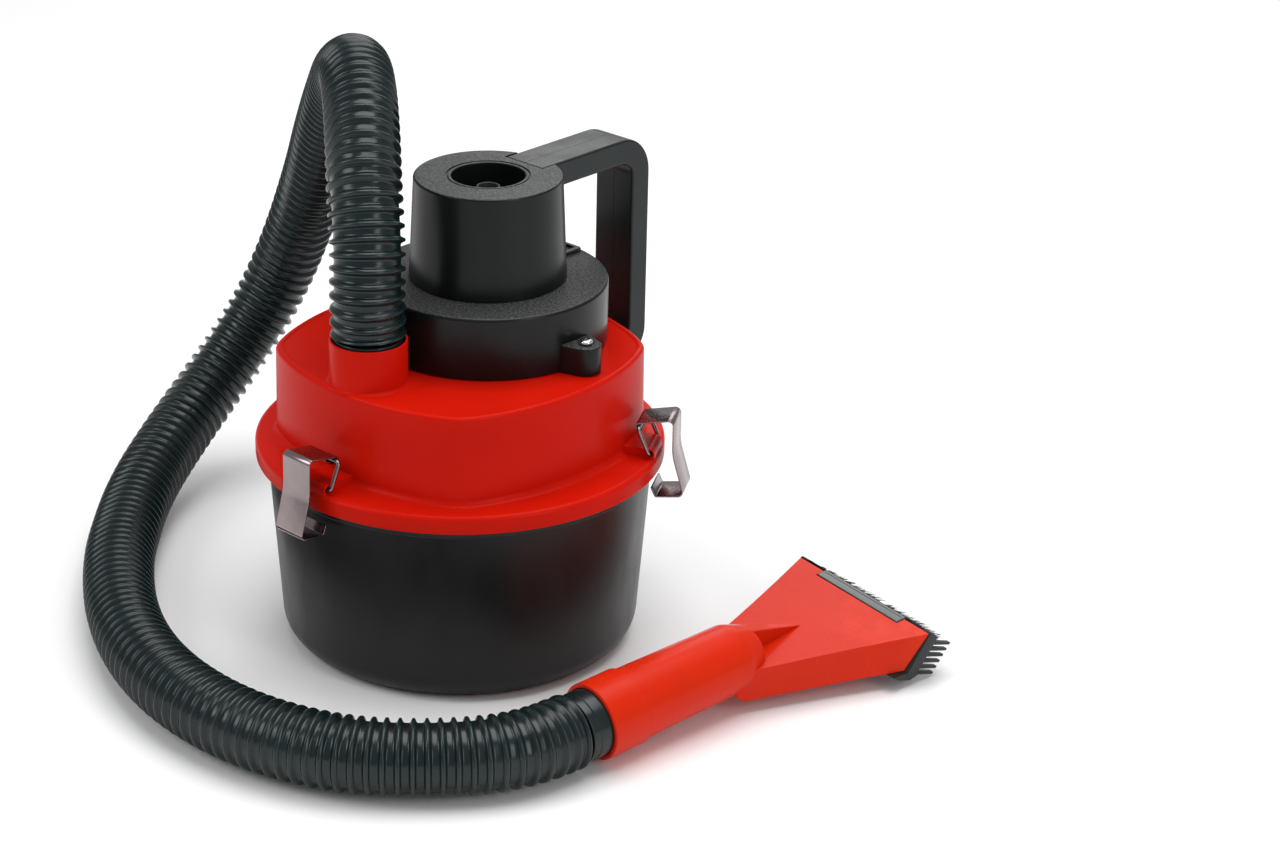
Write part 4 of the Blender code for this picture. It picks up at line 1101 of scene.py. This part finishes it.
def make_cuffs():
    """The hose's smooth cuffs. The one in the nozzle is returned."""
    low, high = 0.1400, 0.1711
    corners = [(0.0140, low, 0.0003), (0.0165, low, 0.0005), (0.0165, high, 0.0006), (0.0140, high, 0.0003)]
    lathe("hose_inlet_cuff", corners, 4, MEDIUM, "hose_black", place=AT_PORT)
    low, high = -0.0110, 0.0180
    corners = [
        (0.0140, low, 0.0003),
        (0.0162, low, 0.0005),
        (0.0162, -0.0072, 0.0003),
        (0.0166, -0.0066, 0.0003),
        (0.0166, high, 0.0006),
        (0.0140, high, 0.0003),
    ]
    return lathe("hose_end_cuff", corners, 4, MEDIUM, "hose_black", place=in_nozzle(ALONG_X))


def head_outline(inset, front_x, bow=0.0):
    """The flat head from above, its flanks slightly hollow."""
    back = HEAD_BACK_X
    flare = (MOUTH_HALF_WIDTH - HEAD_BACK_HALF_WIDTH) / (MOUTH_TOP_X - back)
    flank = []
    for k in range(9):
        t = k / 8
        x = back + inset + (front_x - back - inset) * t
        half = HEAD_BACK_HALF_WIDTH + flare * (x - back) - inset - bow * math.sin(math.pi * t)
        flank.append((x, half))
    return [(x, -y) for x, y in flank] + flank[::-1]


def make_nozzle():
    corners = [
        (0, 0, 0),
        (0.0188, 0, 0.0009),
        (0.0188, 0.0210, 0.0005),
        (0.0177, 0.0216, 0.0003),
        (0.0168, 0.0870, 0.0100),
        (0.0125, 0.1000, 0.0080),
        (0, 0.1022, 0),
    ]
    nozzle = lathe("nozzle", corners, 8, 96, "nozzle_red", "tool", place=in_nozzle(ALONG_X), ring=False)
    head = prism(head_outline(0, MOUTH_TOP_X, 0.0008), HEAD_BOTTOM, HEAD_TOP)
    for vert in head.verts:
        if vert.co.z < (HEAD_TOP + HEAD_BOTTOM) / 2:
            along = (vert.co.x - HEAD_BACK_X) / (MOUTH_TOP_X - HEAD_BACK_X)
            vert.co.x = HEAD_BACK_X + along * (MOUTH_BOTTOM_X - HEAD_BACK_X)
            vert.co.y *= 1.0 - 0.037 * along

    def heel(edge):
        return all(v.co.x < HEAD_BACK_X + TOUCH and v.co.z < HEAD_BOTTOM + TOUCH for v in edge.verts)

    def flanks(edge):
        return min(v.co.x for v in edge.verts) < MOUTH_BOTTOM_X - 0.002

    head = soften(soften(head, 0.0060, 8, 50, heel), 0.0011, 4, 50, flanks)
    add(nozzle, head, in_nozzle())
    slope_x, end_x = 0.0985, 0.134
    ridge = [(0.090, -0.0012), (end_x, -0.0012), (end_x, -0.0004), (slope_x, 0.0118), (0.090, 0.0140)]
    rib = prism(ridge, -0.0040, 0.0040)
    for vert in rib.verts:
        vert.co.z *= 1.0 - 0.8 * max(0.0, (vert.co.x - slope_x) / (end_x - slope_x))
    rib = soften(rib, 0.0007, 3, 40, lambda e: min(v.co.y for v in e.verts) > -0.0006)
    add(nozzle, rib, in_nozzle(at(0, 0, HEAD_TOP) @ SIDE_VIEW))
    bore = [(0, -0.01), (0.0169, -0.01), (0.0169, 0.0210), (0.0150, 0.0214), (0.0142, 0.088), (0, 0.094)]
    cut(nozzle, turned(bore, 64, ring=False), in_nozzle(ALONG_X))
    low, high, beyond = HEAD_BOTTOM + WALL, HEAD_TOP - WALL, MOUTH_TOP_X + 0.005
    cut(nozzle, prism(head_outline(WALL, beyond), low, high), in_nozzle())
    side = TAB_HALF_WIDTH + 0.0005
    notch = box((TAB_BACK_X - 0.0004, -side, high - 0.0005), (beyond, side, HEAD_TOP + 0.005))
    cut(nozzle, notch, in_nozzle())
    settle(nozzle, 30)


def comb_outline():
    """A side plate of the insert with its slanted comb fingers."""
    back, top, low = 0.0045, INSERT_HALF_HEIGHT - 0.0006, -INSERT_HALF_HEIGHT + 0.0006
    first = -0.0095
    outline = [(back, low), (COMB_ROOT, low)]
    for k in range(COMB_FINGERS):
        start, end = first + COMB_PITCH * k, first + COMB_PITCH * (k + 0.6)
        outline += [(COMB_ROOT, start), (COMB_TIP, start + COMB_LEAN + 0.0003)]
        outline += [(COMB_TIP, end + COMB_LEAN - 0.0003), (COMB_ROOT, end)]
    return outline + [(COMB_ROOT, top), (back, top)]


def make_insert():
    half_y, half_z = INSERT_HALF_WIDTH, INSERT_HALF_HEIGHT
    bm = box((GAP, -half_y, -half_z), (INSERT_DEPTH, half_y, half_z), 0.0008)
    insert = piece("squeegee_frame", bm, "insert_black", "brush_insert", place=in_mouth())
    heel = [(0.1535, -0.0160), (0.1615, -0.0160), (0.1705, -0.0205), (0.1650, -0.0215), (0.1580, -0.0190)]
    lip = soften(prism(heel, -half_y + 0.0004, half_y - 0.0004), 0.0004, 2, 40)
    add(insert, lip, in_nozzle(SIDE_VIEW))
    inner_y, inner_z, seat_y = half_y - 0.0050, half_z - 0.0045, TAB_HALF_WIDTH + 0.0005
    back, above = -0.01, half_z + 0.01
    cut(insert, box((back, -inner_y, -inner_z), (0.02, inner_y, inner_z), 0.0012), in_mouth())
    cut(insert, box((back, -inner_y, half_z - 0.0016), (0.0046, inner_y, above)), in_mouth())
    cut(insert, box((back, -seat_y, half_z - 0.0029), (0.0022, seat_y, above)), in_mouth())
    for side in (-1, 1):
        low, high = sorted((side * (half_y - 0.0032), side * (half_y - 0.0006)))
        plate = soften(prism(comb_outline(), low, high), 0.0003, 2, 40)
        add(insert, plate, in_mouth(SIDE_VIEW))
    settle(insert)
    bristles = bristle_shape(half_z - 0.0002)
    piece("brush_strip", bristles, "bristle_black", "brush_insert", place=in_mouth())
    low, high = HEAD_TOP - 0.0012, HEAD_TOP + 0.0005
    outline = filleted(rectangle(TAB_BACK_X, TAB_FRONT_X, -TAB_HALF_WIDTH, TAB_HALF_WIDTH, 0.0006))
    bm = soften(prism(outline, low, high), 0.0004, 3, 40, on_plane("z", high))
    tab = piece("release_tab", bm, "tab_grey", "brush_insert", place=in_nozzle())
    end = TAB_HALF_WIDTH - 0.0012
    groove = box((TAB_FRONT_X - 0.0021, -end, high - 0.0003), (TAB_FRONT_X - 0.0017, end, high + 0.001))
    cut(tab, groove, in_nozzle())
    settle(tab)


def bristle_shape(top):
    """A backing bar with a dense, unruly row of tufts."""
    draw = random.Random(7)
    root_x, rows, columns = INSERT_DEPTH + 0.0008, 5, 170
    half, jitter = 0.0380, 0.00012
    bm = box((INSERT_DEPTH + GAP, -0.0385, top - 0.0022), (INSERT_DEPTH + 0.0012, 0.0385, top), 0.0003, 2)
    for row in range(rows):
        for k in range(columns):
            y = -half + 2 * half * (k + 0.5 * (row % 2)) / columns + draw.uniform(-jitter, jitter)
            z = top - 0.0003 - 0.00042 * row + draw.uniform(-jitter, jitter)
            lift = draw.uniform(0.0006, 0.0024) if draw.random() < 0.28 else draw.uniform(-0.0005, 0.0004)
            lean = draw.uniform(-0.0011, 0.0011)
            reach = draw.uniform(COMB_TIP - 0.0022, COMB_TIP)
            tip_y = max(-0.0384, min(0.0384, y + lean))
            spine = [
                Vector((root_x, y, z)),
                Vector(((root_x + reach) / 2, (2 * y + tip_y) / 3, z + lift * 0.3)),
                Vector((reach, tip_y, z + lift)),
            ]
            rings = []
            for spot, radius in zip(spine, (0.00015, 0.00014, 0.00008)):
                corners = [Vector((0, radius * c, radius * d)) for c, d in SQUARE]
                rings.append([bm.verts.new(spot + corner) for corner in corners])
            skin(bm, rings)
    return bm


# ---- stage


def make_stage():
    bm = bmesh.new()
    bmesh.ops.create_grid(bm, x_segments=1, y_segments=1, size=6.0)
    mesh = bpy.data.meshes.new("floor")
    bm.to_mesh(mesh)
    bm.free()
    floor = bpy.data.objects.new("floor", mesh)
    bpy.context.scene.collection.objects.link(floor)
    floor.location = (0, 0, -0.0004)
    paper = bpy.data.materials.new("floor")
    paper.use_nodes = True
    shader = paper.node_tree.nodes["Principled BSDF"]
    shader.inputs["Base Color"].default_value = (0.93, 0.93, 0.93, 1)
    shader.inputs["Roughness"].default_value = 0.9
    mesh.materials.append(paper)
    world = bpy.data.worlds.new("studio")
    world.use_nodes = True
    sky = world.node_tree.nodes["Background"]
    sky.inputs["Color"].default_value = (1, 1, 1, 1)
    sky.inputs["Strength"].default_value = 0.38
    bpy.context.scene.world = world
    for name, spot, size, power in (
        ("key", (-0.9, -1.5, 1.5), (0.9, 1.2), 13.5),
        ("right", (1.8, -0.1, 0.9), (0.5, 1.4), 7),
        ("top", (0.1, 0.3, 2.0), (1.6, 1.6), 31),
        ("back", (-0.9, 1.6, 1.2), (1.0, 1.0), 6),
    ):
        data = bpy.data.lights.new(name, "AREA")
        data.shape = "RECTANGLE"
        data.size, data.size_y = size
        data.energy = power
        light = bpy.data.objects.new(name, data)
        light.location = spot
        aim = Vector((0, 0, 0.12)) - Vector(spot)
        light.rotation_euler = aim.to_track_quat("-Z", "Y").to_euler()
        bpy.context.scene.collection.objects.link(light)
    bpy.context.scene.view_settings.view_transform = "Standard"


make_camera()
make_materials()
hose, hose_path, hose_length = make_hose()
end_cuff = make_cuffs()
make_nozzle()
make_insert()
make_bucket()
make_lid()
make_gasket()
make_inlet_deflector()
make_motor_housing()
make_cord_gland()
make_top_cap()
make_motor()
make_fan_cover()
make_rotor()
make_filter()
make_switch()
make_handle()
make_latches()
make_screws()
make_stage()
